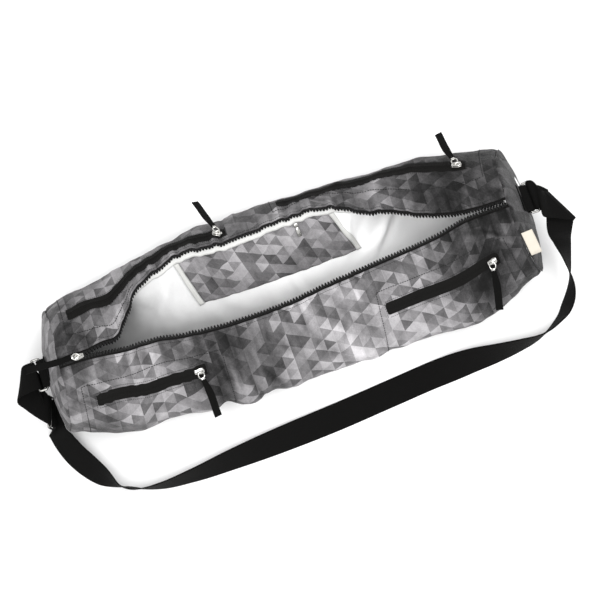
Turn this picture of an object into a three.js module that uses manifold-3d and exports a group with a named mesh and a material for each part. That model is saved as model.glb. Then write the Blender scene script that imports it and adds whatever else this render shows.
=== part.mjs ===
import * as THREE from 'three';
import Module from 'manifold-3d';
import { mergeVertices } from 'three/addons/utils/BufferGeometryUtils.js';

// A cloth bag for a rolled mat, lying unzipped on its flat bottom, its shoulder strap laid out in front.
// Millimetres. X runs along the bag, Y to its back, Z up, and the origin is the middle of the resting face.

// Cloth body
const bagLength = 676;
const bagDiameter = 168;
const panelWall = 1.2;
const liningWall = 0.8;
const layerGap = 1.2;
const liningGap = 1.9;
const pieceGap = 0.3;
const leftLean = 20;
const rightLean = 46;
const leftYaw = 15;
const rightYaw = 6;
const endBulge = 12;
const facingWidth = 11.5;
const innerPocket = { from: 0.3, to: 0.628, slant: 0.026, height: 73, binding: 7 };

// Zips
const tapeShow = 5;
const tapeWall = 0.8;
const teethWidth = 2.6;
const teethHeight = 2.2;
const pocketTapeWidth = 17;
const pocketTapeGap = 0.5;
const sliderLength = 13;
const sliderWidth = 8;
const sliderHeight = 3;
const sliderLift = 1;
const bridgeWire = 1.6;
const pullRingWire = 1.6;
const pullWidth = 8.5;
const pullWall = 1.2;
const pullLength = 52;
const pullDroop = 4;
const mainPullLength = 60;
const mainPullDroop = 22;
const mainSliderAt = 0.043;

// Shoulder strap and its metal
const webbingWidth = 37;
const webbingWall = 1.8;
const ringWire = 3;
const ringSlot = 8;
const sideClearance = 1;
const leftRingHeight = 87;
const rightRingHeight = 100;
const leftRingAcross = -1;
const rightRingAcross = 10;
const ringReach = 5;
const sliderSlot = 8;
const sliderBar = 3;
const sliderPlate = 2.4;
const foldDrop = 12;
const waveClearance = 0.5;
const tabClearance = 0.8;

// Label
const labelWidth = 17;
const labelLength = 36;
const labelWall = 0.8;
const labelDrop = 36;
const labelDroop = THREE.MathUtils.degToRad(20);

// Grid of the cloth skin, in steps along the bag and round it from the front lip to the back lip
const alongSteps = 25;
const aroundSteps = 18;
const linerSteps = 8;

const radius = bagDiameter / 2;
const fullCrown = 1.9 * radius;
const closedHalf = tapeShow + teethWidth + 2.5 * pieceGap;
const linerDepth = panelWall + layerGap;

const wasm = await Module();
wasm.setup();

function table(columns, rows) {
  return rows.map((row) => Object.fromEntries(columns.map((name, k) => [name, row[k]])));
}

// Cross-sections of the body. Columns after the first are shares of the radius, and tilts are degrees.
// mid and open place the mouth, front and back are the reaches of the sides, and slack frees the back
// lining.
const sections = table(
  ['at', 'crown', 'waist', 'front', 'frontTilt', 'back', 'backTilt', 'flat', 'mid', 'open', 'slack'],
  [
    [0.0, 1.9, 0.9, 0.98, 8, 0.96, 8, 0.2, -0.125, 0, 0],
    [0.045, 1.78, 0.8, 1.1, 10, 1.08, 8, 0.34, -0.1, 0, 0],
    [0.09, 1.64, 0.7, 1.24, 12, 1.15, 8, 0.42, -0.07, 0.03, 0.1],
    [0.14, 1.5, 0.62, 1.3, 18, 1.24, 12, 0.48, -0.03, 0.09, 0.4],
    [0.165, 1.47, 0.6, 1.27, 20, 1.28, 20, 0.5, 0.1, 0.22, 0.55],
    [0.195, 1.45, 0.58, 1.26, 24, 1.31, 28, 0.5, 0.24, 0.36, 0.75],
    [0.26, 1.45, 0.56, 1.34, 28, 1.39, 34, 0.52, 0.32, 0.52, 1],
    [0.32, 1.44, 0.56, 1.38, 30, 1.46, 36, 0.52, 0.35, 0.6, 1],
    [0.4, 1.42, 0.55, 1.41, 30, 1.51, 36, 0.54, 0.32, 0.585, 1],
    [0.5, 1.4, 0.55, 1.39, 30, 1.54, 36, 0.55, 0.35, 0.585, 1],
    [0.6, 1.4, 0.55, 1.39, 28, 1.52, 36, 0.55, 0.4, 0.55, 1],
    [0.66, 1.38, 0.55, 1.39, 24, 1.5, 30, 0.55, 0.37, 0.48, 0.9],
    [0.7, 1.36, 0.55, 1.38, 20, 1.49, 24, 0.54, 0.3, 0.38, 0.75],
    [0.76, 1.34, 0.57, 1.38, 16, 1.47, 18, 0.53, 0.24, 0.28, 0.5],
    [0.82, 1.38, 0.6, 1.42, 12, 1.46, 12, 0.5, 0.15, 0.15, 0.25],
    [0.9, 1.56, 0.7, 1.3, 10, 1.35, 8, 0.4, 0.09, 0.02, 0.05],
    [0.955, 1.74, 0.8, 1.12, 8, 1.2, 8, 0.32, 0.04, 0, 0],
    [1.0, 1.9, 0.9, 1.01, 8, 1.06, 8, 0.2, 0.01, 0, 0],
  ],
);

// Main folds of the cloth: where the fold is, as shares of the length and of a half girth (front below 0,
// back above 0), its half length and half width in radii, its depth in radii and its turn in degrees
const folds = table(
  ['at', 'around', 'length', 'width', 'depth', 'turn'],
  [
    [0.305, -0.5, 0.9, 0.14, -0.07, 84],
    [0.35, -0.55, 0.9, 0.15, 0.055, 92],
    [0.4, -0.5, 0.7, 0.14, -0.045, 96],
    [0.53, -0.72, 0.6, 0.13, -0.04, 60],
    [0.59, -0.62, 0.7, 0.14, 0.035, 62],
    [0.64, -0.6, 0.6, 0.13, -0.04, 80],
    [0.2, -0.3, 0.4, 0.3, -0.05, 0],
    [0.13, -0.35, 0.4, 0.3, 0.03, 10],
    [0.3, 0.7, 0.5, 0.14, -0.05, 80],
    [0.36, 0.66, 0.5, 0.14, 0.035, 84],
    [0.58, 0.6, 0.7, 0.15, -0.035, 100],
    [0.08, -0.6, 0.5, 0.13, -0.04, 70],
    [0.9, -0.75, 0.4, 0.13, -0.045, 130],
    [0.88, 0.5, 0.6, 0.16, -0.035, 80],
  ],
);

// Smooth value of a table's column between its rows
function lookUp(rows, key, column, place) {
  const last = rows.length - 1;
  const value = (k) => rows[k][column];
  const spot = (k) => rows[k][key];
  const here = Math.min(Math.max(place, spot(0)), spot(last));
  let k = 0;
  while (k < last - 1 && here > spot(k + 1)) {
    k += 1;
  }
  const rate = (m) => (value(m + 1) - value(m)) / (spot(m + 1) - spot(m));
  const slope = (m) => {
    if (m === 0 || m === last) {
      return rate(m === 0 ? 0 : last - 1);
    }
    const before = spot(m) - spot(m - 1);
    const after = spot(m + 1) - spot(m);
    return (rate(m - 1) * after + rate(m) * before) / (before + after);
  };
  const span = spot(k + 1) - spot(k);
  const t = (here - spot(k)) / span;
  const start = (2 * t ** 3 - 3 * t ** 2 + 1) * value(k) + (t ** 3 - 2 * t ** 2 + t) * slope(k) * span;
  const finish = (3 * t ** 2 - 2 * t ** 3) * value(k + 1) + (t ** 3 - t ** 2) * slope(k + 1) * span;
  return start + finish;
}

const section = (column, at) => lookUp(sections, 'at', column, at);

// The body leans and turns a little at its ends, so X follows the height and the depth
function placeX(at, y, z) {
  const rise = Math.max(z, 0) / fullCrown;
  const lean = (leftLean * (1 - at) - rightLean * at) * rise ** 1.3;
  const nearLeft = Math.max(0, 1 - at / 0.25) ** 2;
  const nearRight = Math.max(0, 1 - (1 - at) / 0.25) ** 2;
  const yaw = (y / bagDiameter) * (leftYaw * nearLeft + rightYaw * nearRight);
  return (at - 0.5) * bagLength + lean + yaw;
}

const place = (at, y, z) => new THREE.Vector3(placeX(at, y, z), y, z);

// Half of a cross-section from the middle of the bottom to the lip, side -1 for the front, 1 for the back
function halfSection(at, side) {
  const name = side < 0 ? 'front' : 'back';
  const roundness = 0.55;
  const crown = section('crown', at) * radius;
  const waist = section('waist', at) * radius;
  const reach = section(name, at) * radius;
  const tilt = THREE.MathUtils.degToRad(section(`${name}Tilt`, at));
  const flatHalf = section('flat', at) * reach;
  const open = Math.max(section('open', at), 0) * radius + closedHalf;
  const lip = new THREE.Vector2(section('mid', at) * radius + side * open, crown);
  const widest = new THREE.Vector2(side * reach, waist);
  const foot = new THREE.Vector2(side * flatHalf, 0);
  const shoulder = Math.abs(widest.x - lip.x) * Math.cos(tilt) + (crown - waist) * Math.sin(tilt);
  const topReach = roundness * shoulder;
  const sideRise = roundness * (crown - waist) * (1 - 0.45 * Math.sin(tilt));
  const path = new THREE.CurvePath();
  path.add(new THREE.LineCurve(new THREE.Vector2(0, 0), foot));
  path.add(new THREE.CubicBezierCurve(
    foot,
    new THREE.Vector2(foot.x + side * roundness * (reach - flatHalf), 0),
    new THREE.Vector2(widest.x, waist * (1 - roundness)),
    widest,
  ));
  path.add(new THREE.CubicBezierCurve(
    widest,
    new THREE.Vector2(widest.x, waist + sideRise),
    new THREE.Vector2(lip.x + side * topReach * Math.cos(tilt), crown - topReach * Math.sin(tilt)),
    lip,
  ));
  return path;
}

// Height of the folds at a spot of the skin; they fade out at the ends, at the lips and on the resting face
function relief(at, around, halfGirth, flatShare) {
  const fade = Math.min(1, 8 * at, 8 * (1 - at))
    * THREE.MathUtils.smoothstep(Math.abs(around), flatShare * 1.2, flatShare * 1.2 + 0.15)
    * (1 - 0.6 * THREE.MathUtils.smoothstep(Math.abs(around), 0.85, 1));
  let height = 0;
  for (const fold of folds) {
    const along = (at - fold.at) * bagLength;
    const across = (around - fold.around) * halfGirth;
    const turn = THREE.MathUtils.degToRad(fold.turn);
    const run = (along * Math.cos(turn) + across * Math.sin(turn)) / (fold.length * radius);
    const off = (across * Math.cos(turn) - along * Math.sin(turn)) / (fold.width * radius);
    height += fold.depth * radius * Math.exp(-(run ** 2) - off ** 2);
  }
  return height * fade;
}

// Outward normals of a grid of points, from its neighbours
function normalsOf(points) {
  const rows = points.length;
  const columns = points[0].length;
  return points.map((row, i) => row.map((point, j) => {
    const along = points[Math.min(i + 1, rows - 1)][j].clone().sub(points[Math.max(i - 1, 0)][j]);
    const round = row[Math.min(j + 1, columns - 1)].clone().sub(row[Math.max(j - 1, 0)]);
    return round.cross(along).normalize();
  }));
}

// Skin of the body, from the front lip round the bottom to the back lip
function makeSkin() {
  const half = aroundSteps / 2;
  const plain = [];
  const heights = [];
  for (let i = 0; i <= alongSteps; i += 1) {
    const at = i / alongSteps;
    const halves = { '-1': halfSection(at, -1), 1: halfSection(at, 1) };
    const row = [];
    const rowHeights = [];
    for (let j = 0; j <= aroundSteps; j += 1) {
      const around = j / half - 1;
      const path = halves[around < 0 ? -1 : 1];
      const point = path.getPoint(Math.abs(around));
      const halfGirth = path.getLength();
      const flatShare = path.curves[0].getLength() / halfGirth;
      row.push(place(at, point.x, point.y));
      rowHeights.push(relief(at, around, halfGirth, flatShare));
    }
    plain.push(row);
    heights.push(rowHeights);
  }
  const plainNormals = normalsOf(plain);
  const points = plain.map((row, i) => row.map((point, j) => (
    point.clone().addScaledVector(plainNormals[i][j], heights[i][j])
  )));
  return { points, normals: normalsOf(points) };
}

const skin = makeSkin();

// A point of a grid between its lines, pushed along the normal
function onGrid(grid, u, v, offset = 0) {
  const i = Math.min(Math.floor(u), grid.points.length - 2);
  const j = Math.min(Math.floor(v), grid.points[0].length - 2);
  const mix = (field) => {
    const near = field[i][j].clone().lerp(field[i + 1][j], u - i);
    const far = field[i][j + 1].clone().lerp(field[i + 1][j + 1], u - i);
    return near.lerp(far, v - j);
  };
  return mix(grid.points).addScaledVector(mix(grid.normals).normalize(), offset);
}

// Closed geometry from points and triangles, with its faces turned out
function closed(points, triangles) {
  let volume = 0;
  for (const [a, b, c] of triangles) {
    volume += points[a].dot(points[b].clone().cross(points[c]));
  }
  const faces = volume < 0 ? triangles.map(([a, b, c]) => [a, c, b]) : triangles;
  const geometry = new THREE.BufferGeometry();
  geometry.setAttribute('position', new THREE.Float32BufferAttribute(points.flatMap((p) => p.toArray()), 3));
  geometry.setIndex(faces.flat());
  return geometry;
}

// Closed solid between two grids of points of one size
function slab(upper, lower) {
  const rows = upper.length;
  const columns = upper[0].length;
  const layer = rows * columns;
  const triangles = [];
  const quad = (a, b, c, d) => triangles.push([a, b, c], [a, c, d]);
  const at = (i, j) => i * columns + j;
  for (let i = 0; i < rows - 1; i += 1) {
    for (let j = 0; j < columns - 1; j += 1) {
      quad(at(i, j), at(i, j + 1), at(i + 1, j + 1), at(i + 1, j));
      triangles.push([at(i, j) + layer, at(i + 1, j + 1) + layer, at(i, j + 1) + layer]);
      triangles.push([at(i, j) + layer, at(i + 1, j) + layer, at(i + 1, j + 1) + layer]);
    }
  }
  const wall = (p, q) => quad(q, p, p + layer, q + layer);
  for (let j = 0; j < columns - 1; j += 1) {
    wall(at(0, j), at(0, j + 1));
    wall(at(rows - 1, j + 1), at(rows - 1, j));
  }
  for (let i = 0; i < rows - 1; i += 1) {
    wall(at(i + 1, 0), at(i, 0));
    wall(at(i, columns - 1), at(i + 1, columns - 1));
  }
  return closed([...upper.flat(), ...lower.flat()], triangles);
}

// Grid lines between two places, with the whole steps that lie between them
function gridLines(from, to) {
  const lines = [from];
  for (let k = Math.ceil(from + 0.08); k < to - 0.08; k += 1) {
    lines.push(k);
  }
  lines.push(to);
  return lines;
}

// Piece of cloth on a grid, between two depths below it, its ends slanted by so many steps
function patch(grid, u, v, depths, slant = 0) {
  const slide = (b) => (slant * (v[1] - b)) / (v[1] - v[0]);
  const line = (a, offset) => gridLines(...v).map((b) => onGrid(grid, a + slide(b), b, offset));
  const level = (offset) => gridLines(...u).map((a) => line(a, offset));
  return slab(level(-depths[0]), level(-depths[1]));
}

function toSolid(geometry) {
  const bare = new THREE.BufferGeometry();
  bare.setAttribute('position', geometry.getAttribute('position'));
  bare.setIndex(geometry.getIndex());
  const merged = mergeVertices(bare, 1e-4);
  return new wasm.Manifold(new wasm.Mesh({
    numProp: 3,
    vertProperties: new Float32Array(merged.getAttribute('position').array),
    triVerts: new Uint32Array(merged.getIndex().array),
  }));
}

function fromSolid(solid) {
  const mesh = solid.getMesh();
  const geometry = new THREE.BufferGeometry();
  geometry.setAttribute('position', new THREE.BufferAttribute(new Float32Array(mesh.vertProperties), 3));
  geometry.setIndex(new THREE.BufferAttribute(new Uint32Array(mesh.triVerts), 1));
  return geometry;
}

// Cutter that stands through the cloth, from rows of spots given in grid steps
function cutter(grid, rows) {
  const reach = 3.5 * panelWall;
  const level = (offset) => rows.map((row) => row.map((spot) => onGrid(grid, spot.x, spot.y, offset)));
  return toSolid(slab(level(reach), level(-reach)));
}

const group = new THREE.Group();

function finish(color, roughness, metalness = 0) {
  return new THREE.MeshStandardMaterial({ color, roughness, metalness });
}

function add(name, geometry, material) {
  const mesh = new THREE.Mesh(geometry, material.clone());
  mesh.name = name;
  group.add(mesh);
  return mesh;
}

const printedCloth = finish(0x8a888a, 0.7);
const liningCloth = finish(0xd8d8d8, 0.6);
const facingCloth = finish(0xb4b4b4, 0.7);
const zipTape = finish(0x222223, 0.85);
const zipTeeth = finish(0x18181a, 0.4);
const webbing = finish(0x1a1917, 0.85);
const metal = finish(0xc8c8ca, 0.25, 1);
const labelCloth = finish(0xe6dcc6, 0.85);

// Outside pockets, side -1 on the front and 1 on the back. A pull leans so many degrees from square to its
// zip.
const pockets = table(
  ['name', 'side', 'pull'],
  [
    ['front_left', -1, 12],
    ['front_right', -1, -20],
    ['back_left', 1, -18],
    ['back_right', 1, -26],
  ],
);

// Middle lines of the pocket zips: shares of the length, and of the half girth from the bottom to the lip
const zipLines = table(
  ['name', 'at', 'across'],
  [
    ['front_left', 0.06, 0.79],
    ['front_left', 0.17, 0.8],
    ['front_left', 0.284, 0.82],
    ['front_right', 0.674, 0.785],
    ['front_right', 0.932, 0.785],
    ['back_left', 0.045, 0.79],
    ['back_left', 0.12, 0.785],
    ['back_left', 0.195, 0.88],
    ['back_left', 0.28, 0.92],
    ['back_left', 0.41, 0.93],
    ['back_right', 0.535, 0.85],
    ['back_right', 0.6, 0.86],
    ['back_right', 0.7, 0.78],
    ['back_right', 0.8, 0.72],
    ['back_right', 0.93, 0.75],
  ],
);

function halfGirthAt(at, side) {
  return halfSection(at, side).getLength();
}

// Middle line of a pocket zip in grid steps
function pocketLine(pocket, share) {
  const rows = zipLines.filter((row) => row.name === pocket.name);
  const at = THREE.MathUtils.lerp(rows[0].at, rows[rows.length - 1].at, share);
  const across = lookUp(rows, 'at', 'across', at);
  const half = aroundSteps / 2;
  return new THREE.Vector2(at * alongSteps, half + pocket.side * across * half);
}

// Rows of spots across a pocket zip, in grid steps, with round corners and a half width in millimetres
function pocketRows(pocket, halfWidth) {
  const stepAlong = bagLength / alongSteps;
  const stepAcross = halfGirthAt(pocketLine(pocket, 0.5).x / alongSteps, pocket.side) / (aroundSteps / 2);
  const corner = 0.4 * halfWidth;
  const rowAt = (spot, past, share) => [-1, 0, 1].map((side) => new THREE.Vector2(
    spot.x + past / stepAlong,
    spot.y + (side * share * halfWidth) / stepAcross,
  ));
  const start = pocketLine(pocket, 0);
  const end = pocketLine(pocket, 1);
  const between = gridLines(start.x, end.x).map((x) => (
    rowAt(pocketLine(pocket, (x - start.x) / (end.x - start.x)), 0, 1)
  ));
  return [rowAt(start, -corner, 0.6), ...between, rowAt(end, corner, 0.6)];
}

// Front and back panels, cut for the pocket zips, and the tapes that fill the cuts
const seamLine = 0.85 * (aroundSteps / 2);
const seamHalf = pieceGap / 2 / (halfGirthAt(0.5, -1) / (aroundSteps / 2));

function addPanel(name, side, around) {
  const whole = toSolid(patch(skin, [0, alongSteps], around, [0, panelWall]));
  let panel = whole;
  for (const pocket of pockets.filter((row) => row.side === side)) {
    const tape = whole.intersect(cutter(skin, pocketRows(pocket, pocketTapeWidth / 2)));
    add(`pocket_zip_tape_${pocket.name}`, fromSolid(tape), zipTape);
    panel = panel.subtract(cutter(skin, pocketRows(pocket, pocketTapeWidth / 2 + pocketTapeGap)));
  }
  add(name, fromSolid(panel), printedCloth);
}

addPanel('front_panel', -1, [0, seamLine - seamHalf]);
addPanel('back_panel', 1, [seamLine + seamHalf, aroundSteps]);

// Linings. The back one hangs slack from the lip, so in the middle it leaves the panel behind it.
const endInset = ((2 * liningWall + 4 * pieceGap) * alongSteps) / bagLength;

function makeLiner() {
  const half = aroundSteps / 2;
  const points = skin.points.map((row, i) => {
    const at = i / alongSteps;
    const lip = onGrid(skin, i, aroundSteps, -linerDepth);
    const slack = THREE.MathUtils.clamp(section('slack', at), 0, 1);
    const hang = new THREE.CubicBezierCurve(
      new THREE.Vector2(lip.y, lip.z),
      new THREE.Vector2(lip.y - 0.25 * radius, 0.85 * lip.z),
      new THREE.Vector2(0.03 * radius, 0.6 * radius),
      new THREE.Vector2(0, linerDepth + liningWall),
    );
    const line = [];
    for (let k = 0; k <= linerSteps; k += 1) {
      const share = k / linerSteps;
      const shell = onGrid(skin, i, aroundSteps - half * share, -linerDepth);
      const loose = hang.getPointAt(share);
      line.push(shell.lerp(place(at, loose.x, loose.y), slack));
    }
    return line.reverse();
  });
  return { points, normals: normalsOf(points) };
}

const liner = makeLiner();
const midSteps = aroundSteps / 2;
const liningSpan = [endInset, alongSteps - endInset];
const lipTrim = pieceGap * 4 / (halfGirthAt(0.5, -1) / midSteps);
add(
  'lining_front',
  patch(skin, liningSpan, [lipTrim, midSteps - lipTrim], [linerDepth, linerDepth + liningWall]),
  liningCloth,
);
add('lining_back', patch(liner, liningSpan, [0, linerSteps - lipTrim], [0, liningWall]), liningCloth);

// Facing along the back lip, and the printed pocket on the back lining below it
const middleLine = liner.points[Math.round(alongSteps / 2)];
const linerLength = middleLine.slice(1).reduce((sum, point, k) => sum + point.distanceTo(middleLine[k]), 0);
const linerStep = linerLength / linerSteps;
const facingDepth = liningWall + liningGap;
const facingDepths = [facingDepth, facingDepth + liningWall];
const facingEdge = linerSteps - facingWidth / linerStep;
const facingSpan = [0.16 * alongSteps, 0.88 * alongSteps];
add('facing_back', patch(liner, facingSpan, [facingEdge, linerSteps - lipTrim], facingDepths), facingCloth);

const pocketTop = facingEdge - (2 * pieceGap) / linerStep;
const pocketReach = [pocketTop - innerPocket.height / linerStep, pocketTop];
const pocketSpan = [innerPocket.from * alongSteps, innerPocket.to * alongSteps];
const pocketSlant = innerPocket.slant * alongSteps;
const bindingStep = (innerPocket.binding * alongSteps) / bagLength;
const gapStep = (2 * pieceGap * alongSteps) / bagLength;
const bindings = {
  left: [pocketSpan[0] - gapStep - bindingStep, pocketSpan[0] - gapStep],
  right: [pocketSpan[1] + gapStep, pocketSpan[1] + gapStep + bindingStep],
};
add('inner_pocket', patch(liner, pocketSpan, pocketReach, facingDepths, pocketSlant), printedCloth);
for (const [name, span] of Object.entries(bindings)) {
  const binding = patch(liner, span, pocketReach, facingDepths, pocketSlant);
  add(`inner_pocket_binding_${name}`, binding, facingCloth);
}

// Round ends: a domed panel on the rim of the body and a lining inside it, end -1 left and 1 right
function rimOf(end, inset) {
  const column = end < 0 ? 0 : alongSteps;
  const rim = [];
  for (let j = 0; j <= aroundSteps; j += 1) {
    rim.push(onGrid(skin, column, j, -inset));
  }
  rim.push(rim[0].clone().lerp(rim[aroundSteps], 0.5));
  return rim;
}

const endMiddle = (end) => new THREE.Vector2(0, (section('crown', end < 0 ? 0 : 1) * radius) / 2);

function domeX(end, y, z, share, shift) {
  return placeX(end < 0 ? 0 : 1, y, z) + end * (shift + endBulge * (1 - share ** 2));
}

function endSurface(end, inset, shift) {
  const rim = rimOf(end, inset);
  const middle = endMiddle(end);
  const shares = [1, 0.86, 0.62, 0.32];
  const spot = (point, share) => {
    const y = middle.x + share * (point.y - middle.x);
    const z = middle.y + share * (point.z - middle.y);
    return new THREE.Vector3(domeX(end, y, z, share, shift), y, z);
  };
  return { rings: shares.map((share) => rim.map((point) => spot(point, share))), middle: spot(rim[0], 0) };
}

function disc(inner, outer) {
  const count = inner.rings[0].length;
  const rings = inner.rings.length;
  const layer = count * rings + 1;
  const points = [...inner.rings.flat(), inner.middle, ...outer.rings.flat(), outer.middle];
  const faces = [];
  for (let k = 0; k < count; k += 1) {
    const next = (k + 1) % count;
    for (let ring = 0; ring < rings - 1; ring += 1) {
      const [a, b] = [ring * count + k, ring * count + next];
      const [c, d] = [b + count, a + count];
      faces.push([a, b, c], [a, c, d], [a + layer, c + layer, b + layer], [a + layer, d + layer, c + layer]);
    }
    const inside = (rings - 1) * count;
    faces.push([inside + k, inside + next, layer - 1]);
    faces.push([inside + next + layer, inside + k + layer, 2 * layer - 1]);
    faces.push([next, k, k + layer], [next, k + layer, next + layer]);
  }
  return closed(points, faces);
}

for (const [name, end] of [['left', -1], ['right', 1]]) {
  const panelIn = endSurface(end, 0, pieceGap);
  const panelOut = endSurface(end, 0, pieceGap + panelWall);
  add(`end_panel_${name}`, disc(panelIn, panelOut), printedCloth);
  const liningIn = endSurface(end, linerDepth + liningGap, -liningWall - pieceGap);
  const liningOut = endSurface(end, linerDepth + liningGap, -pieceGap);
  add(`lining_end_${name}`, disc(liningIn, liningOut), liningCloth);
}

// Main zip: tape and teeth run on from each lip into the mouth
function lipGrid(side, distances) {
  const column = side < 0 ? 0 : aroundSteps;
  const points = [];
  const normals = [];
  for (let i = 0; i <= alongSteps; i += 1) {
    const at = i / alongSteps;
    const tangent = halfSection(at, side).curves[2].getTangent(1);
    const lip = skin.points[i][column];
    const beyond = place(at, lip.y + tangent.x, lip.z + tangent.y).sub(place(at, lip.y, lip.z)).normalize();
    const along = skin.points[Math.min(i + 1, alongSteps)][column].clone()
      .sub(skin.points[Math.max(i - 1, 0)][column]);
    const normal = beyond.clone().multiplyScalar(side).cross(along).normalize();
    points.push(distances.map((distance) => lip.clone().addScaledVector(beyond, distance)));
    normals.push(distances.map(() => normal));
  }
  return { points, normals };
}

const tapeStart = pieceGap;
const teethStart = tapeStart + tapeShow + pieceGap;
const zipSpan = [endInset / 2, alongSteps - endInset / 2];
const teethMiddle = panelWall / 2;
for (const [name, side] of [['front', -1], ['back', 1]]) {
  const tape = lipGrid(side, [tapeStart, tapeStart + tapeShow]);
  const teeth = lipGrid(side, [teethStart, teethStart + teethWidth]);
  add(
    `zip_tape_${name}`,
    patch(tape, zipSpan, [0, 1], [teethMiddle - tapeWall / 2, teethMiddle + tapeWall / 2]),
    zipTape,
  );
  add(
    `zip_teeth_${name}`,
    patch(teeth, zipSpan, [0, 1], [teethMiddle - teethHeight / 2, teethMiddle + teethHeight / 2]),
    zipTeeth,
  );
}

// Turns and moves a mesh so that its X and Z point along two directions from a spot
function seat(mesh, spot, alongDirection, upDirection) {
  const z = upDirection.clone().normalize();
  const y = z.clone().cross(alongDirection).normalize();
  const x = y.clone().cross(z);
  mesh.setRotationFromMatrix(new THREE.Matrix4().makeBasis(x, y, z));
  mesh.position.copy(spot);
}

function extrude(shape, depth, curveSegments = 2) {
  return new THREE.ExtrudeGeometry(shape, { depth, bevelEnabled: false, curveSegments });
}

// Zip slider: a tapered body with an arch on top, standing on z = 0
const bridgeHole = pullRingWire + 3 * pieceGap;

function sliderGeometry(turn) {
  const nose = 0.3 * sliderWidth;
  const outline = new THREE.Shape([
    new THREE.Vector2(-sliderLength / 2, -0.32 * sliderWidth),
    new THREE.Vector2(-sliderLength / 2, 0.32 * sliderWidth),
    new THREE.Vector2(0.1 * sliderLength, sliderWidth / 2),
    new THREE.Vector2(sliderLength / 2 - nose, sliderWidth / 2),
    new THREE.Vector2(sliderLength / 2, 0.22 * sliderWidth),
    new THREE.Vector2(sliderLength / 2, -0.22 * sliderWidth),
    new THREE.Vector2(sliderLength / 2 - nose, -sliderWidth / 2),
    new THREE.Vector2(0.1 * sliderLength, -sliderWidth / 2),
  ]);
  const body = extrude(outline, sliderHeight);
  const arch = new THREE.Shape();
  arch.absarc(0, 0, bridgeHole + bridgeWire, 0, Math.PI, false);
  arch.lineTo(-bridgeHole, 0);
  arch.absarc(0, 0, bridgeHole, Math.PI, 0, true);
  arch.closePath();
  const bridge = extrude(arch, bridgeWire, 4);
  bridge.translate(0, 0, -bridgeWire / 2);
  bridge.rotateX(Math.PI / 2);
  bridge.rotateZ(turn);
  bridge.translate(0, 0, sliderHeight - pieceGap);
  return fromSolid(toSolid(strip(body)).add(toSolid(strip(bridge))));
}

function strip(geometry) {
  const bare = new THREE.BufferGeometry();
  bare.setAttribute('position', geometry.getAttribute('position'));
  bare.setIndex(geometry.getIndex() ?? [...Array(geometry.getAttribute('position').count).keys()]);
  return bare;
}

// Bar of the pull's ring under the arch, and the ring's inside, which clears the width of the pull
const pullRingInside = pullWidth + 3 * pieceGap;

// Strip folded over a wire at the origin that runs along Y; it lies along X and its tip hangs by the droop
function pullGeometry(length, droop) {
  const bend = pullRingWire * Math.SQRT1_2 + pieceGap + pullWall / 2;
  const line = [];
  const tail = 0.22 * length;
  line.push(new THREE.Vector2(tail, -bend));
  for (let k = 0; k <= 4; k += 1) {
    const angle = -Math.PI / 2 - (k * Math.PI) / 4;
    line.push(new THREE.Vector2(bend * Math.cos(angle), bend * Math.sin(angle)));
  }
  for (let k = 1; k <= 4; k += 1) {
    const share = k / 4;
    line.push(new THREE.Vector2(length * share, bend - droop * share ** 2));
  }
  return band(line, pullWidth, pullWall);
}

// Flat band of one width whose middle line lies in the XZ plane
function band(line, width, wall) {
  const centres = line.map((p) => new THREE.Vector3(p.x, 0, p.y));
  const across = line.map(() => new THREE.Vector3(0, 1, 0));
  return ribbon(centres, across, line.map(() => width), wall);
}

// Ribbon through centres, each with the direction and length of its cross-line
function ribbon(centres, across, widths, wall) {
  const last = centres.length - 1;
  const upper = [];
  const lower = [];
  centres.forEach((centre, k) => {
    const before = centres[Math.max(k - 1, 0)].clone().sub(centres[k]).negate();
    const after = centres[Math.min(k + 1, last)].clone().sub(centres[k]);
    const run = before.normalize().add(after.normalize());
    const face = across[k].clone().cross(run).normalize();
    const ends = [-0.5, 0.5].map((side) => centre.clone().addScaledVector(across[k], side * widths[k]));
    upper.push(ends.map((point) => point.clone().addScaledVector(face, wall / 2)));
    lower.push(ends.map((point) => point.clone().addScaledVector(face, -wall / 2)));
  });
  return slab(upper, lower);
}

// Slider, ring and webbing pull on a frame: along the zip, up from the cloth, and the way that the pull lies
const ringHeight = sliderHeight + pieceGap;

function addPuller(prefix, spot, alongDirection, upDirection, pullDirection, length, droop) {
  const up = upDirection.clone().normalize();
  const along = alongDirection.clone().normalize();
  const outward = pullDirection.clone().addScaledVector(up, -pullDirection.dot(up)).normalize();
  const turn = Math.atan2(outward.dot(up.clone().cross(along)), outward.dot(along));
  seat(add(`${prefix}_slider`, sliderGeometry(turn), metal), spot, along, up);
  const reach = (pullRingInside + pullRingWire) / 2;
  const ringMiddle = spot.clone().addScaledVector(up, ringHeight).addScaledVector(outward, reach);
  const outer = pullRingInside + 2 * pullRingWire;
  const outline = box(outer, outer);
  outline.holes.push(box(pullRingInside, pullRingInside));
  seat(add(`${prefix}_ring`, extrude(outline, pullRingWire), metal), ringMiddle, outward, up);
  const hold = ringMiddle.addScaledVector(outward, reach).addScaledVector(up, pullRingWire / 2);
  seat(add(`${prefix}_pull`, pullGeometry(length, droop), webbing), hold, outward, up);
}

function skinFrame(u, v) {
  const spot = onGrid(skin, u, v);
  const near = onGrid(skin, u - 0.3, v);
  const far = onGrid(skin, u + 0.3, v);
  const out = onGrid(skin, u, v, 1).sub(spot);
  return { spot, along: far.sub(near).normalize(), out };
}

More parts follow.
